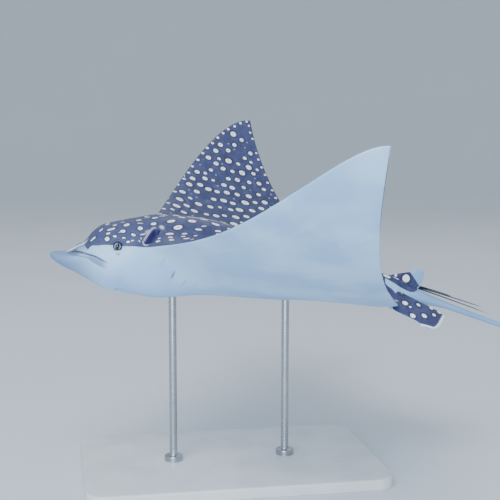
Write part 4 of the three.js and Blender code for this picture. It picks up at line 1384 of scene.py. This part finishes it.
@dataclass(frozen=True)
class RaySkinFinish:
    """Wet fish skin without scales: slate back with chalk-white spots, milk-white belly.

    It reads as matt under a thin wet film, with broad soft highlights. The back is
    clouded, the ground is a little darker round each spot, and large spots are grey in
    the middle.
    """

    slate: str = "#37406c"
    slate_deep: str = "#2b3259"
    head_slate: str = "#3b456e"
    cloud: str = "#5a648f"
    halo: str = "#1b1f3d"
    spot: str = "#fbfdff"
    core: str = "#8d9ab2"
    belly: str = "#aed5f8"
    belly_cool: str = "#98c1ec"
    bill_shade: str = "#5d79a6"
    tail_shade: str = "#6c8fbe"
    # painted shade in folds, pits, slits and the lobe's groove
    fold: str = "#2b3358"
    tail_top: str = "#363e58"
    # painted shade inside the spiracles
    spiracle_shade: str = "#2a2a60"
    cloud_size: float = 0.030
    mottle_size: float = 0.0045
    grain_size: float = 0.0011
    border: float = 0.0008

    def make(self) -> bpy.types.Material:
        """Builds the skin's material."""
        material, tree = new_material("ray_skin_wet")
        place = add_node(tree, "ShaderNodeTexCoord").outputs["Object"]
        values = {name: add_node(tree, "ShaderNodeAttribute", {"attribute_name": name})
                  for name in ("line", "crease", "pale", "hole", "groove", "spot", "spot_tone")}
        clouds = grain(tree, place, self.cloud_size, 3.0)
        mottle = grain(tree, place, self.mottle_size, 3.0, 0.6)
        ground = self.ground(tree, place, clouds, mottle)
        ground = self.spotted(tree, place, ground, values)
        white = self.underside(tree, place, mottle)
        wander = maths(tree, "MULTIPLY", maths(tree, "SUBTRACT", mottle, 0.5), 0.0016)
        line = maths(tree, "ADD", values["line"].outputs["Fac"], wander)
        dark = ramp(tree, line, -self.border, self.border)
        colour = blend_colours(tree, dark, white, ground)
        # pale skin, and painted highlights on the spiracles' rims, the lobe's bead and the bill's crown
        colour = blend_colours(tree, values["pale"].outputs["Fac"], colour, linear(self.spot))
        # painted shade in folds, pits and slits
        shade = ramp(tree, values["crease"].outputs["Fac"], 0.0, 1.0)
        colour = blend_colours(tree, shade, colour, linear(self.fold))
        colour = blend_colours(tree, self.grooved(tree, values["groove"]), colour, linear(self.fold))
        # painted shade inside the spiracles, by the share of the way out from their middle line
        within = ramp(tree, values["hole"].outputs["Fac"], 0.90, 1.03, 1.0, 0.0)
        colour = blend_colours(tree, within, colour, linear(self.spiracle_shade))
        rough = ramp(tree, mottle, 0.3, 0.7, 0.50, 0.62)
        skin = add_node(tree, "ShaderNodeBsdfPrincipled", Base_Color=colour, Roughness=rough,
                        Normal=self.bumps(tree, place, mottle))
        skin.inputs["IOR"].default_value = 1.42
        skin.inputs["Coat Weight"].default_value = 0.08
        skin.inputs["Coat Roughness"].default_value = 0.30
        close_material(tree, skin)
        return material

    def ground(self, tree: bpy.types.NodeTree, place: bpy.types.NodeSocket,
               clouds: bpy.types.NodeSocket, mottle: bpy.types.NodeSocket) -> bpy.types.NodeSocket:
        """Slate of the back: greener on the head, clouded everywhere, darker on the tail."""
        x = add_node(tree, "ShaderNodeSeparateXYZ", Vector=place).outputs["X"]
        head = ramp(tree, x, -0.24, -0.04, 1.0, 0.0)
        cloudy = ramp(tree, clouds, 0.35, 0.65)
        base = blend_colours(tree, cloudy, linear(self.slate_deep), linear(self.slate))
        base = blend_colours(tree, maths(tree, "MULTIPLY", head, 0.8), base, linear(self.head_slate))
        patches = ramp(tree, grain(tree, place, 0.013, 2.0), 0.54, 0.78, 0.0, 0.45)
        base = blend_colours(tree, patches, base, linear(self.cloud))
        speckle = ramp(tree, mottle, 0.35, 0.75, 0.0, 0.30)
        base = blend_colours(tree, speckle, base, linear(self.cloud))
        return blend_colours(tree, ramp(tree, x, 0.66, 1.1), base, linear(self.tail_top))

    def spotted(self, tree: bpy.types.NodeTree, place: bpy.types.NodeSocket,
                ground: bpy.types.NodeSocket, values: dict[str, bpy.types.Node]) -> bpy.types.NodeSocket:
        """Spots by their distance in radii, uneven at the rim, with dark round and grey within."""
        far = add_node(tree, "ShaderNodeVectorMath", {"operation": "LENGTH"},
                       in_0=values["spot"].outputs["Vector"]).outputs["Value"]
        tone = values["spot_tone"].outputs["Fac"]
        ragged = maths(tree, "MULTIPLY", maths(tree, "SUBTRACT", grain(tree, place, 0.005, 2.0), 0.5), 0.34)
        far = maths(tree, "ADD", far, ragged)
        ring = maths(tree, "MULTIPLY", ramp(tree, far, 1.08, 1.90, 0.85, 0.0), ramp(tree, tone, 0.4, 0.9))
        colour = blend_colours(tree, ring, ground, linear(self.halo))
        disc = maths(tree, "MULTIPLY", ramp(tree, far, 0.84, 1.10, 1.0, 0.0), tone)
        centre = ramp(tree, far, 0.15, 0.50, 0.75, 0.0)
        centre = maths(tree, "MULTIPLY", centre, ramp(tree, tone, 0.80, 0.98))
        white = blend_colours(tree, centre, linear(self.spot), linear(self.core))
        return blend_colours(tree, disc, colour, white)

    def grooved(self, tree: bpy.types.NodeTree, groove: bpy.types.Node) -> bpy.types.NodeSocket:
        """Shade of the lobe's groove: its two dark lines, and fine ridges between them."""
        parts = add_node(tree, "ShaderNodeSeparateXYZ", Vector=groove.outputs["Vector"]).outputs
        edge = ramp(tree, maths(tree, "ABSOLUTE", parts["X"]), 0.55, 1.35, 0.92, 0.0)
        foot = ramp(tree, maths(tree, "ABSOLUTE", parts["Y"]), 0.45, 1.25, 0.62, 0.0)
        wave = maths(tree, "SINE", maths(tree, "MULTIPLY", parts["Y"], 2.7))
        ridges = maths(tree, "ADD", maths(tree, "MULTIPLY", wave, 0.24), 0.52)
        below, above = ramp(tree, parts["X"], -1.3, -0.7, 1.0, 0.0), ramp(tree, parts["Y"], 0.7, 1.3)
        strip = maths(tree, "MULTIPLY", below, above)
        ridged = maths(tree, "MULTIPLY", ridges, strip)
        shade = maths(tree, "MAXIMUM", maths(tree, "MAXIMUM", edge, foot), ridged)
        return maths(tree, "MULTIPLY", shade, parts["Z"])

    def underside(self, tree: bpy.types.NodeTree, place: bpy.types.NodeSocket,
                  mottle: bpy.types.NodeSocket) -> bpy.types.NodeSocket:
        """Milk white with a cool cast that comes and goes over a hand's breadth."""
        drift = ramp(tree, grain(tree, place, 0.11, 2.0), 0.35, 0.65)
        white = blend_colours(tree, drift, linear(self.belly), linear(self.belly_cool))
        white = blend_colours(tree, ramp(tree, mottle, 0.5, 0.8, 0.0, 0.18), white, linear(self.belly_cool))
        x = add_node(tree, "ShaderNodeSeparateXYZ", Vector=place).outputs["X"]
        white = blend_colours(tree, ramp(tree, x, -0.35, -0.25, 0.80, 0.0), white, linear(self.bill_shade))
        return blend_colours(tree, ramp(tree, x, 0.33, 0.46, 0.0, 0.75), white, linear(self.tail_shade))

    def bumps(self, tree: bpy.types.NodeTree, place: bpy.types.NodeSocket,
              mottle: bpy.types.NodeSocket) -> bpy.types.NodeSocket:
        """Fine leathery grain of about a millimetre over a softer unevenness."""
        fine = grain(tree, place, self.grain_size, 2.0)
        soft = add_node(tree, "ShaderNodeBump", Strength=0.25, Distance=0.0012, Height=mottle)
        return add_node(tree, "ShaderNodeBump", Strength=0.18, Distance=0.0004, Height=fine,
                        Normal=soft.outputs[0]).outputs[0]


@dataclass(frozen=True)
class EyeFinish:
    """Wet eye: silvery iris with fine streaks, a dark upright pupil and a dark rim."""

    pupil: str = "#0b0d18"
    iris: str = "#717d96"
    iris_light: str = "#9ea9be"
    rim: str = "#222846"

    def make(self) -> bpy.types.Material:
        """Builds the eye's material from the attribute gaze: y, z over the eye, in radii."""
        material, tree = new_material("eye_wet")
        gaze = add_node(tree, "ShaderNodeAttribute", {"attribute_name": "gaze"}).outputs["Vector"]
        parts = add_node(tree, "ShaderNodeSeparateXYZ", Vector=gaze).outputs
        radius = parts["Z"]
        tall = add_node(tree, "ShaderNodeCombineXYZ", X=maths(tree, "DIVIDE", parts["X"], 0.23),
                        Y=maths(tree, "DIVIDE", parts["Y"], 0.42)).outputs[0]
        slit = add_node(tree, "ShaderNodeVectorMath", {"operation": "LENGTH"}, in_0=tall).outputs["Value"]
        angle = maths(tree, "ARCTAN2", parts["Y"], parts["X"])
        around = add_node(tree, "ShaderNodeCombineXYZ", X=maths(tree, "MULTIPLY", angle, 9.0),
                          Y=maths(tree, "MULTIPLY", radius, 3.0)).outputs[0]
        streak = ramp(tree, grain(tree, around, 0.45, 2.0), 0.35, 0.65)
        colour = blend_colours(tree, streak, linear(self.iris), linear(self.iris_light))
        colour = blend_colours(tree, ramp(tree, radius, 0.33, 0.42), colour, linear(self.rim))
        colour = blend_colours(tree, ramp(tree, slit, 0.92, 1.08, 1.0, 0.0), colour, linear(self.pupil))
        eye = add_node(tree, "ShaderNodeBsdfPrincipled", Base_Color=colour, Roughness=0.16)
        eye.inputs["IOR"].default_value = 1.38
        eye.inputs["Coat Weight"].default_value = 0.8
        eye.inputs["Coat Roughness"].default_value = 0.04
        close_material(tree, eye)
        return material


@dataclass(frozen=True)
class StingFinish:
    """Sting of dentine under a thin sheath: dark, with fine lengthwise streaks and a gloss."""

    dark: str = "#1f2238"
    pale: str = "#2c3150"

    def make(self) -> bpy.types.Material:
        """Builds the stings' material."""
        material, tree = new_material("sting_dentine")
        place = add_node(tree, "ShaderNodeTexCoord").outputs["Object"]
        drawn = add_node(tree, "ShaderNodeMapping", Vector=place, Scale=(0.06, 1.0, 1.0)).outputs[0]
        streak = ramp(tree, grain(tree, drawn, 0.0008, 3.0), 0.35, 0.7)
        colour = blend_colours(tree, streak, linear(self.dark), linear(self.pale))
        bump = add_node(tree, "ShaderNodeBump", Strength=0.3, Distance=0.0003, Height=streak)
        dentine = add_node(tree, "ShaderNodeBsdfPrincipled", Base_Color=colour, Roughness=0.34,
                           Normal=bump.outputs[0])
        close_material(tree, dentine)
        return material


@dataclass(frozen=True)
class BoardFinish:
    """Sprayed satin lacquer on board: near white, with a faint orange-peel texture."""

    tone: str = "#d5d8da"
    worn: str = "#c9cdd0"

    def make(self) -> bpy.types.Material:
        """Builds the board's material."""
        material, tree = new_material("board_lacquer")
        place = add_node(tree, "ShaderNodeTexCoord").outputs["Object"]
        drift = ramp(tree, grain(tree, place, 0.09, 4.0), 0.4, 0.7)
        colour = blend_colours(tree, drift, linear(self.tone), linear(self.worn))
        peel = grain(tree, place, 0.0022, 1.0)
        bump = add_node(tree, "ShaderNodeBump", Strength=0.12, Distance=0.0003, Height=peel)
        lacquer = add_node(tree, "ShaderNodeBsdfPrincipled", Base_Color=colour, Normal=bump.outputs[0],
                           Roughness=ramp(tree, drift, 0, 1, 0.38, 0.46))
        close_material(tree, lacquer)
        return material


@dataclass(frozen=True)
class SteelFinish:
    """Turned and brushed stainless steel: fine rings round the rod stretch its highlight."""

    tone: str = "#b4b8bd"
    dark: str = "#a9adb2"

    def make(self) -> bpy.types.Material:
        """Builds the rods' material."""
        material, tree = new_material("rod_stainless")
        place = add_node(tree, "ShaderNodeTexCoord").outputs["Object"]
        rings = add_node(tree, "ShaderNodeMapping", Vector=place, Scale=(0.02, 0.02, 1.0)).outputs[0]
        brush = grain(tree, rings, 0.00035, 1.0)
        colour = blend_colours(tree, ramp(tree, brush, 0.3, 0.7), linear(self.dark), linear(self.tone))
        bump = add_node(tree, "ShaderNodeBump", Strength=0.08, Distance=0.0001, Height=brush)
        steel = add_node(tree, "ShaderNodeBsdfPrincipled", Base_Color=colour, Normal=bump.outputs[0],
                         Roughness=ramp(tree, brush, 0.3, 0.7, 0.24, 0.36))
        steel.inputs["Metallic"].default_value = 1.0
        close_material(tree, steel)
        return material


@dataclass(frozen=True)
class PaperFinish:
    """Matt seamless background paper, pale and faintly uneven."""

    tone: str = "#cfd6dd"

    def make(self) -> bpy.types.Material:
        """Builds the floor's material."""
        material, tree = new_material("backdrop_paper")
        place = add_node(tree, "ShaderNodeTexCoord").outputs["Object"]
        drift = ramp(tree, grain(tree, place, 0.8, 2.0), 0.3, 0.7, 0.0, 0.25)
        colour = blend_colours(tree, drift, linear(self.tone), linear("#c4ccd4"))
        paper = add_node(tree, "ShaderNodeBsdfPrincipled", Base_Color=colour, Roughness=0.9)
        close_material(tree, paper)
        return material


# ---------------------------------------------------------------- the pieces


@dataclass
class RaySkin:
    """All of the ray's flesh under one skin."""

    form: RayForm
    replaced: tuple[str, ...] = (
        "rostral_lobe", "head", "trunk", "left_wing", "right_wing", "tail_1", "tail_2", "tail_3",
        "tail_4", "left_pelvic_fin", "right_pelvic_fin", "dorsal_fin",
    )
    # spots of a pelvic fin: share of span, share of chord, radius mm; of the dorsal fin: x, height, mm
    # spots of the near pelvic fin: across and down the frame and how wide, in pixels
    pelvic_spots: tuple[tuple[float, float, float], ...] = (
        (412.5, 315.9, 6.4), (424.3, 316.3, 6.4), (433.6, 315.2, 5), (417.6, 305.9, 6.4),
        (410.2, 307.9, 5), (404.4, 303.9, 7.7), (439, 312.5, 5), (430.9, 309, 5.5),
        (400.2, 295.4, 6.8), (392.5, 293.3, 3.4), (409.1, 300.5, 2.5), (415.9, 300.5, 3),
    )
    mm_per_pixel: float = 2.09
    # spots of the dorsal fin: across and down the frame in pixels, and radius in mm
    dorsal_spots: tuple[tuple[float, float, float], ...] = ((406.1, 278.3, 8.8), (395.9, 275.6, 3.6))

    def fin_spots(self, fin: PelvicFin) -> Spots:
        """Spots on the upper face of a pelvic fin."""
        view, near = View(), PelvicFin(self.form, Side.LEFT)
        out, along = np.meshgrid(np.linspace(0.02, 0.98, 97), np.linspace(0.02, 0.98, 97), indexing="ij")
        front, rear = near.chord(out)
        seen, depth = view.pixels(self.form.placed(near.place(front + (rear - front) * along, out)))
        found = [view.nearest(seen, depth, spot[:2]) for spot in self.pelvic_spots]
        out, along = (np.array([grid[i] for i in found]) for grid in (out, along))
        radius = np.array(self.pelvic_spots)[:, 2] * self.mm_per_pixel / 2 * MM
        front, rear = fin.chord(out)
        place = fin.place(front + (rear - front) * along, out)
        spots = Spots()
        spots.extend(place, radius, np.array(1.0))
        return spots

    def crest_spots(self) -> Spots:
        """Spots that go through the dorsal fin, so that both its faces show them."""
        x, height = np.meshgrid(np.linspace(0.69, 0.84, 400), np.linspace(0.0, 0.09, 300), indexing="ij")
        middle = self.form.trailed(np.stack([x, 0 * x, height], -1), x)
        seen, depth = View().pixels(self.form.placed(middle))
        places = [middle[View().nearest(seen, depth, spot[:2])] for spot in self.dorsal_spots]
        spots = Spots()
        spots.extend(np.array(places), np.array(self.dorsal_spots)[:, 2] * MM, np.array(1.0))
        return spots

    def build(self) -> bpy.types.Object:
        """Joins the shells into one mesh and stores what the finish reads."""
        layout = SpotLayout(self.form)
        fins = [PelvicFin(self.form, side) for side in Side]
        crest = DorsalFin(self.form)
        parts = [(BodyShell(self.form).build(), layout.on_body())]
        parts += [(fin.build(), self.fin_spots(fin)) for fin in fins]
        parts += [(crest.build(), self.crest_spots())]
        offsets = np.cumsum([0] + [len(shell.points) for shell, _ in parts])
        quads = np.concatenate([shell.quads + start for (shell, _), start in zip(parts, offsets)])
        triangles = np.concatenate([shell.triangles + start for (shell, _), start in zip(parts, offsets)])
        points = np.concatenate([self.form.placed(shell.points) for shell, _ in parts])
        skin = make_piece("ray_skin", points, [quads, triangles])
        for name in ("line", "crease", "pale", "hole", "groove"):
            give_values(skin, name, np.concatenate([getattr(shell, name) for shell, _ in parts]))
        found = [spots.corners(shell.points, getattr(shell, kind))
                 for kind in ("quads", "triangles") for shell, spots in parts]
        give_values(skin, "spot", np.concatenate([far for far, _ in found]), "CORNER")
        give_values(skin, "spot_tone", np.concatenate([tone for _, tone in found]), "CORNER")
        dress(skin, RaySkinFinish().make(), self.replaced)
        return skin


@dataclass
class Eye:
    """Ball of the eye with a low clear bulge in front, deep in its socket."""

    form: RayForm
    side: Side
    material: bpy.types.Material
    socket: EyeSocket = field(default_factory=EyeSocket)
    radius: float = 0.011
    bulge: float = 0.0007
    ahead: float = 6.0
    rings: int = 40
    around: int = 64

    def build(self) -> bpy.types.Object:
        """Sphere about an axis that points out and a little ahead, radius + bulge exp(-(t / w) squared)."""
        polar = np.linspace(0, np.pi, self.rings + 2)[1:-1, None]
        turn = np.linspace(0, 2 * np.pi, self.around, endpoint=False)[None]
        radius = self.radius + self.bulge * np.exp(-(polar / 0.5) ** 2)
        local = np.stack(np.broadcast_arrays(
            radius * np.sin(polar) * np.cos(turn),
            radius * np.cos(polar),
            radius * np.sin(polar) * np.sin(turn)), -1)
        ahead = np.radians(self.ahead)
        x = local[..., 0] * np.cos(ahead) - local[..., 1] * np.sin(ahead)
        y = local[..., 0] * np.sin(ahead) + local[..., 1] * np.cos(ahead)
        centre = np.array(self.socket.centre) * (1, self.side.value, 1)
        points = centre + np.stack([x, self.side.value * y, local[..., 2]], -1)
        poles = centre + np.array([[-np.sin(ahead), self.side.value * np.cos(ahead), 0],
                                   [np.sin(ahead), -self.side.value * np.cos(ahead), 0]]) * self.radius
        poles[0] += (poles[0] - centre) * self.bulge / self.radius
        points, quads, triangles = closed_grid(points, (poles[0], poles[1]))
        shell = Shell.plain(points, quads, triangles)
        name = f"{self.side.name.lower()}_eye_ball"
        piece = make_piece(name, self.form.placed(shell.points), [shell.quads, shell.triangles])
        share = polar / (np.pi / 2)
        gaze = np.stack(np.broadcast_arrays(share * np.cos(turn), share * np.sin(turn), share), -1)
        gaze = gaze.reshape(-1, 3)
        gaze = np.concatenate([gaze, [[0, 0, 0], [0, 0, 2]]])
        give_values(piece, "gaze", gaze)
        dress(piece, self.material, (f"{self.side.name.lower()}_eye",))
        return piece


@dataclass
class Sting:
    """Flat spear with a ridge along its middle and barbs down both edges."""

    form: RayForm
    name: str
    start: float
    length: float
    lift: float
    slope: float
    width: float
    thick: float = 0.0024
    barb: float = 0.0030
    steps: int = 220
    around: int = 20

    def build(self, material: bpy.types.Material) -> bpy.types.Object:
        """Sections carried from foot to tip: a saw tooth is added to the half width."""
        t = np.linspace(0, 1, self.steps)
        half = self.width / 2 * (1 - 0.25 * t) * np.clip((1 - t) * 5, 0.02, 1)
        saw = (t * self.length / self.barb) % 1.0
        half = half + 0.0002 * (1 - saw) * smooth(0.12, 0.2, t) * np.clip((1 - t) * 8, 0, 1)
        deep = self.thick / 2 * (1 - 0.45 * t) * np.clip((1 - t) * 6, 0.04, 1)
        turn = np.linspace(0, 2 * np.pi, self.around, endpoint=False)
        ridge = 1 + 0.25 * np.exp(-((np.abs(np.sin(turn)) - 1) / 0.12) ** 2)
        y = half[:, None] * np.cos(turn)[None]
        z = deep[:, None] * (np.sin(turn) * ridge)[None] * (1 - 0.35 * np.abs(np.cos(turn)) ** 3)[None]
        foot, tip = (self.mount(x) for x in (self.start, self.start + self.length))
        slope = np.arctan2(foot[2] - tip[2], tip[0] - foot[0]) - np.radians(self.slope)
        along = t[:, None] * self.length + 0 * y
        sag = 0.0018 * np.sin(np.pi * np.clip(t, 0, 1))[:, None]
        points = np.stack([
            foot[0] + along * np.cos(slope) + z * np.sin(slope),
            y,
            foot[2] - along * np.sin(slope) + z * np.cos(slope) + self.thick / 2 + sag * 0.4,
        ], -1)
        points, quads, triangles = closed_grid(points, (points[0].mean(0), points[-1].mean(0)))
        shell = Shell.plain(points, quads, triangles)
        placed = self.form.placed(shell.points)
        piece = make_piece(f"{self.name}_spear", placed, [shell.quads, shell.triangles])
        dress(piece, material, (self.name,))
        return piece

    def mount(self, x: float) -> np.ndarray:
        """Point over the top of the tail that the sting lies along."""
        station = np.array(x)
        z = self.form.column(2, station) + self.form.rim + self.lift
        return self.form.trailed(np.stack([station, 0 * station, z], -1), station)


@dataclass
class Stand:
    """Flat base with rounded edges, and two turned rods with collars."""

    edge: float = 0.004
    corner: float = 0.040
    collar_radius: float = 0.019
    collar_height: float = 0.011

    def build_base(self) -> bpy.types.Object:
        """Rounded rectangle carried up a profile that turns in at its lower and upper edges."""
        low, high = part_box("stand_base")
        half = np.array([(high.x - low.x) / 2, (high.y - low.y) / 2])
        turn = np.linspace(0, np.pi / 2, 9)
        inset = np.concatenate([[0.012], self.edge * 0.4 * (1 - np.sin(turn)), self.edge * (1 - np.cos(turn)),
                                [self.edge + 0.02]])
        height = np.concatenate([[low.z], low.z + self.edge * 0.4 * (1 - np.cos(turn)),
                                 high.z - self.edge * (1 - np.sin(turn)), [high.z]])
        angle = np.linspace(0, 2 * np.pi, 192, endpoint=False)
        quarter = np.floor(angle / (np.pi / 2))
        sign = np.stack([np.sign(np.cos(quarter * np.pi / 2 + np.pi / 4)),
                         np.sign(np.sin(quarter * np.pi / 2 + np.pi / 4))], -1)
        out = np.stack([np.cos(angle), np.sin(angle)], -1)
        centre = sign * (half - self.corner)
        ring = centre[None] + (self.corner - inset[:, None, None]) * out[None]
        points = np.concatenate([ring, np.broadcast_to(height[:, None, None], ring.shape[:2] + (1,))], -1)
        ends = (np.array([0, 0, low.z]), np.array([0, 0, high.z]))
        material = BoardFinish().make()
        return self.finish_piece("stand_base_board", points, ends, material, "stand_board", "stand_base")

    def build_rod(self, node: str, material: bpy.types.Material) -> bpy.types.Object:
        """Profile turned about the rod's axis: rod, and a collar with rounded edges at its foot."""
        low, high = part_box(node)
        middle = (low + high) / 2
        rod = (high.x - low.x) / 2
        collar, rise, round_off = self.collar_radius, self.collar_height, 0.002
        turn = np.linspace(0, np.pi / 2, 6)
        radius = np.concatenate([[collar, collar], collar - round_off * (1 - np.cos(turn)),
                                 rod + 0.0025 - 0.0025 * np.sin(turn), [rod, rod]])
        height = np.concatenate([[0, rise - round_off], rise - round_off + round_off * np.sin(turn),
                                 rise + 0.0025 * (1 - np.cos(turn)), [rise + 0.02, high.z - low.z]]) + low.z
        angle = np.linspace(0, 2 * np.pi, 64, endpoint=False)
        points = np.stack(np.broadcast_arrays(
            middle.x + radius[:, None] * np.cos(angle), middle.y + radius[:, None] * np.sin(angle),
            height[:, None]), -1)
        ends = (np.array([middle.x, middle.y, low.z]), np.array([middle.x, middle.y, high.z]))
        return self.finish_piece(f"{node}_turned", points, ends, material, "stand_steel", node)

    @staticmethod
    def finish_piece(name: str, points: np.ndarray, ends: tuple[np.ndarray, np.ndarray],
                     material: bpy.types.Material, slot: str, node: str) -> bpy.types.Object:
        """Closes a piece of the stand, dresses it and keeps its edges crisp."""
        everything, quads, triangles = closed_grid(points, ends)
        shell = Shell.plain(everything, quads, triangles)
        piece = make_piece(name, shell.points, [shell.quads, shell.triangles])
        piece.data.set_sharp_from_angle(angle=np.radians(35))
        dress(piece, material, (node,))
        return piece


@dataclass
class Studio:
    """Pale floor that curves up all round, soft lights and the camera."""

    floor_radius: float = 9.0
    wall_radius: float = 16.0
    wall_height: float = 9.0
    view: View = View()

    def build_floor(self) -> bpy.types.Object:
        """Surface of revolution: flat, then a quarter of an ellipse up to the wall's height."""
        turn = np.linspace(0, np.pi / 2, 24)
        radius = np.concatenate([np.linspace(0.5, self.floor_radius, 12)[:-1],
                                 self.floor_radius + (self.wall_radius - self.floor_radius) * np.sin(turn)])
        height = np.concatenate([np.zeros(11), self.wall_height * (1 - np.cos(turn))])
        angle = np.linspace(0, 2 * np.pi, 96, endpoint=False)
        points = np.stack(np.broadcast_arrays(
            radius[:, None] * np.cos(angle), radius[:, None] * np.sin(angle), height[:, None]), -1)
        rings, around = points.shape[:2]
        i, j = np.meshgrid(np.arange(rings - 1), np.arange(around), indexing="ij")
        k = (j + 1) % around
        quads = np.stack([i * around + j, (i + 1) * around + j, (i + 1) * around + k, i * around + k], -1)
        at = np.arange(around)
        hub = np.stack([np.full(around, rings * around), at, (at + 1) % around], -1)
        everything = np.concatenate([points.reshape(-1, 3), [[0, 0, 0]]])
        floor = make_piece("floor", everything, [quads.reshape(-1, 4), hub])
        floor.data.materials.append(PaperFinish().make())
        return floor

    @staticmethod
    def add_light(name: str, place: tuple[float, float, float], aim: tuple[float, float, float],
                  size: float, power: float, colour: tuple[float, float, float]) -> None:
        """Square soft box that faces a point."""
        data = bpy.data.lights.new(name, "AREA")
        data.shape = "SQUARE"
        data.size = size
        data.energy = power
        data.color = colour
        light = bpy.data.objects.new(name, data)
        way = Vector(aim) - Vector(place)
        light.matrix_world = Matrix.Translation(place) @ way.to_track_quat("-Z", "Y").to_matrix().to_4x4()
        bpy.context.scene.collection.objects.link(light)

    def light(self) -> None:
        """Soft sky all round, a broad key above, and a low broad fill from the front."""
        world = bpy.data.worlds.new("studio_sky")
        world.use_nodes = True
        sky = world.node_tree.nodes["Background"].inputs
        sky["Color"].default_value = linear("#dfe8f2")
        sky["Strength"].default_value = 0.95
        bpy.context.scene.world = world
        aim = (0.0, 0.0, 0.45)
        self.add_light("key", (-1.6, -2.6, 4.2), aim, 2.6, 185.0, (0.97, 0.985, 1.0))
        self.add_light("fill", (-1.2, -4.2, 0.45), aim, 2.4, 218.0, (0.88, 0.95, 1.0))
        self.add_light("rim", (1.2, 3.4, 3.6), aim, 2.0, 26.0, (0.96, 0.98, 1.0))

    def camera(self) -> None:
        """Camera on a sphere about the target, turned to face it."""
        data = bpy.data.cameras.new("camera")
        data.sensor_width = 36.0
        data.lens = self.view.focal / self.view.image_width * data.sensor_width
        data.clip_end = 100.0
        camera = bpy.data.objects.new("camera", data)
        away = Vector(self.view.away())
        place = Vector(self.view.target) + away * self.view.distance
        turn = (-away).to_track_quat("-Z", "Y").to_matrix().to_4x4()
        roll = Matrix.Rotation(np.radians(self.view.roll), 4, "Z")
        camera.matrix_world = Matrix.Translation(place) @ turn @ roll
        bpy.context.scene.collection.objects.link(camera)
        bpy.context.scene.camera = camera


STINGS = (
    ("sting_long", 0.790, 0.172, 0.0004, 2.6, 0.0075),
    ("sting_middle", 0.791, 0.158, 0.0032, 5.0, 0.0070),
    ("sting_short", 0.792, 0.080, 0.0060, 6.2, 0.0060),
)


def main() -> None:
    """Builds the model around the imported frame, piece by piece, then the studio."""
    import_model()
    form = RayForm()
    RaySkin(form).build()
    eye_finish = EyeFinish().make()
    for side in Side:
        Eye(form, side, eye_finish).build()
    sting_finish = StingFinish().make()
    for name, start, length, lift, slope, width in STINGS:
        Sting(form, name, start, length, lift, slope, width).build(sting_finish)
    stand = Stand()
    stand.build_base()
    steel = SteelFinish().make()
    for node in ("stand_rod_front", "stand_rod_rear"):
        stand.build_rod(node, steel)
    studio = Studio()
    studio.build_floor()
    studio.light()
    studio.camera()


if __name__ == "__main__":
    logging.basicConfig(level=logging.INFO, format="%(name)s: %(message)s")
    main()
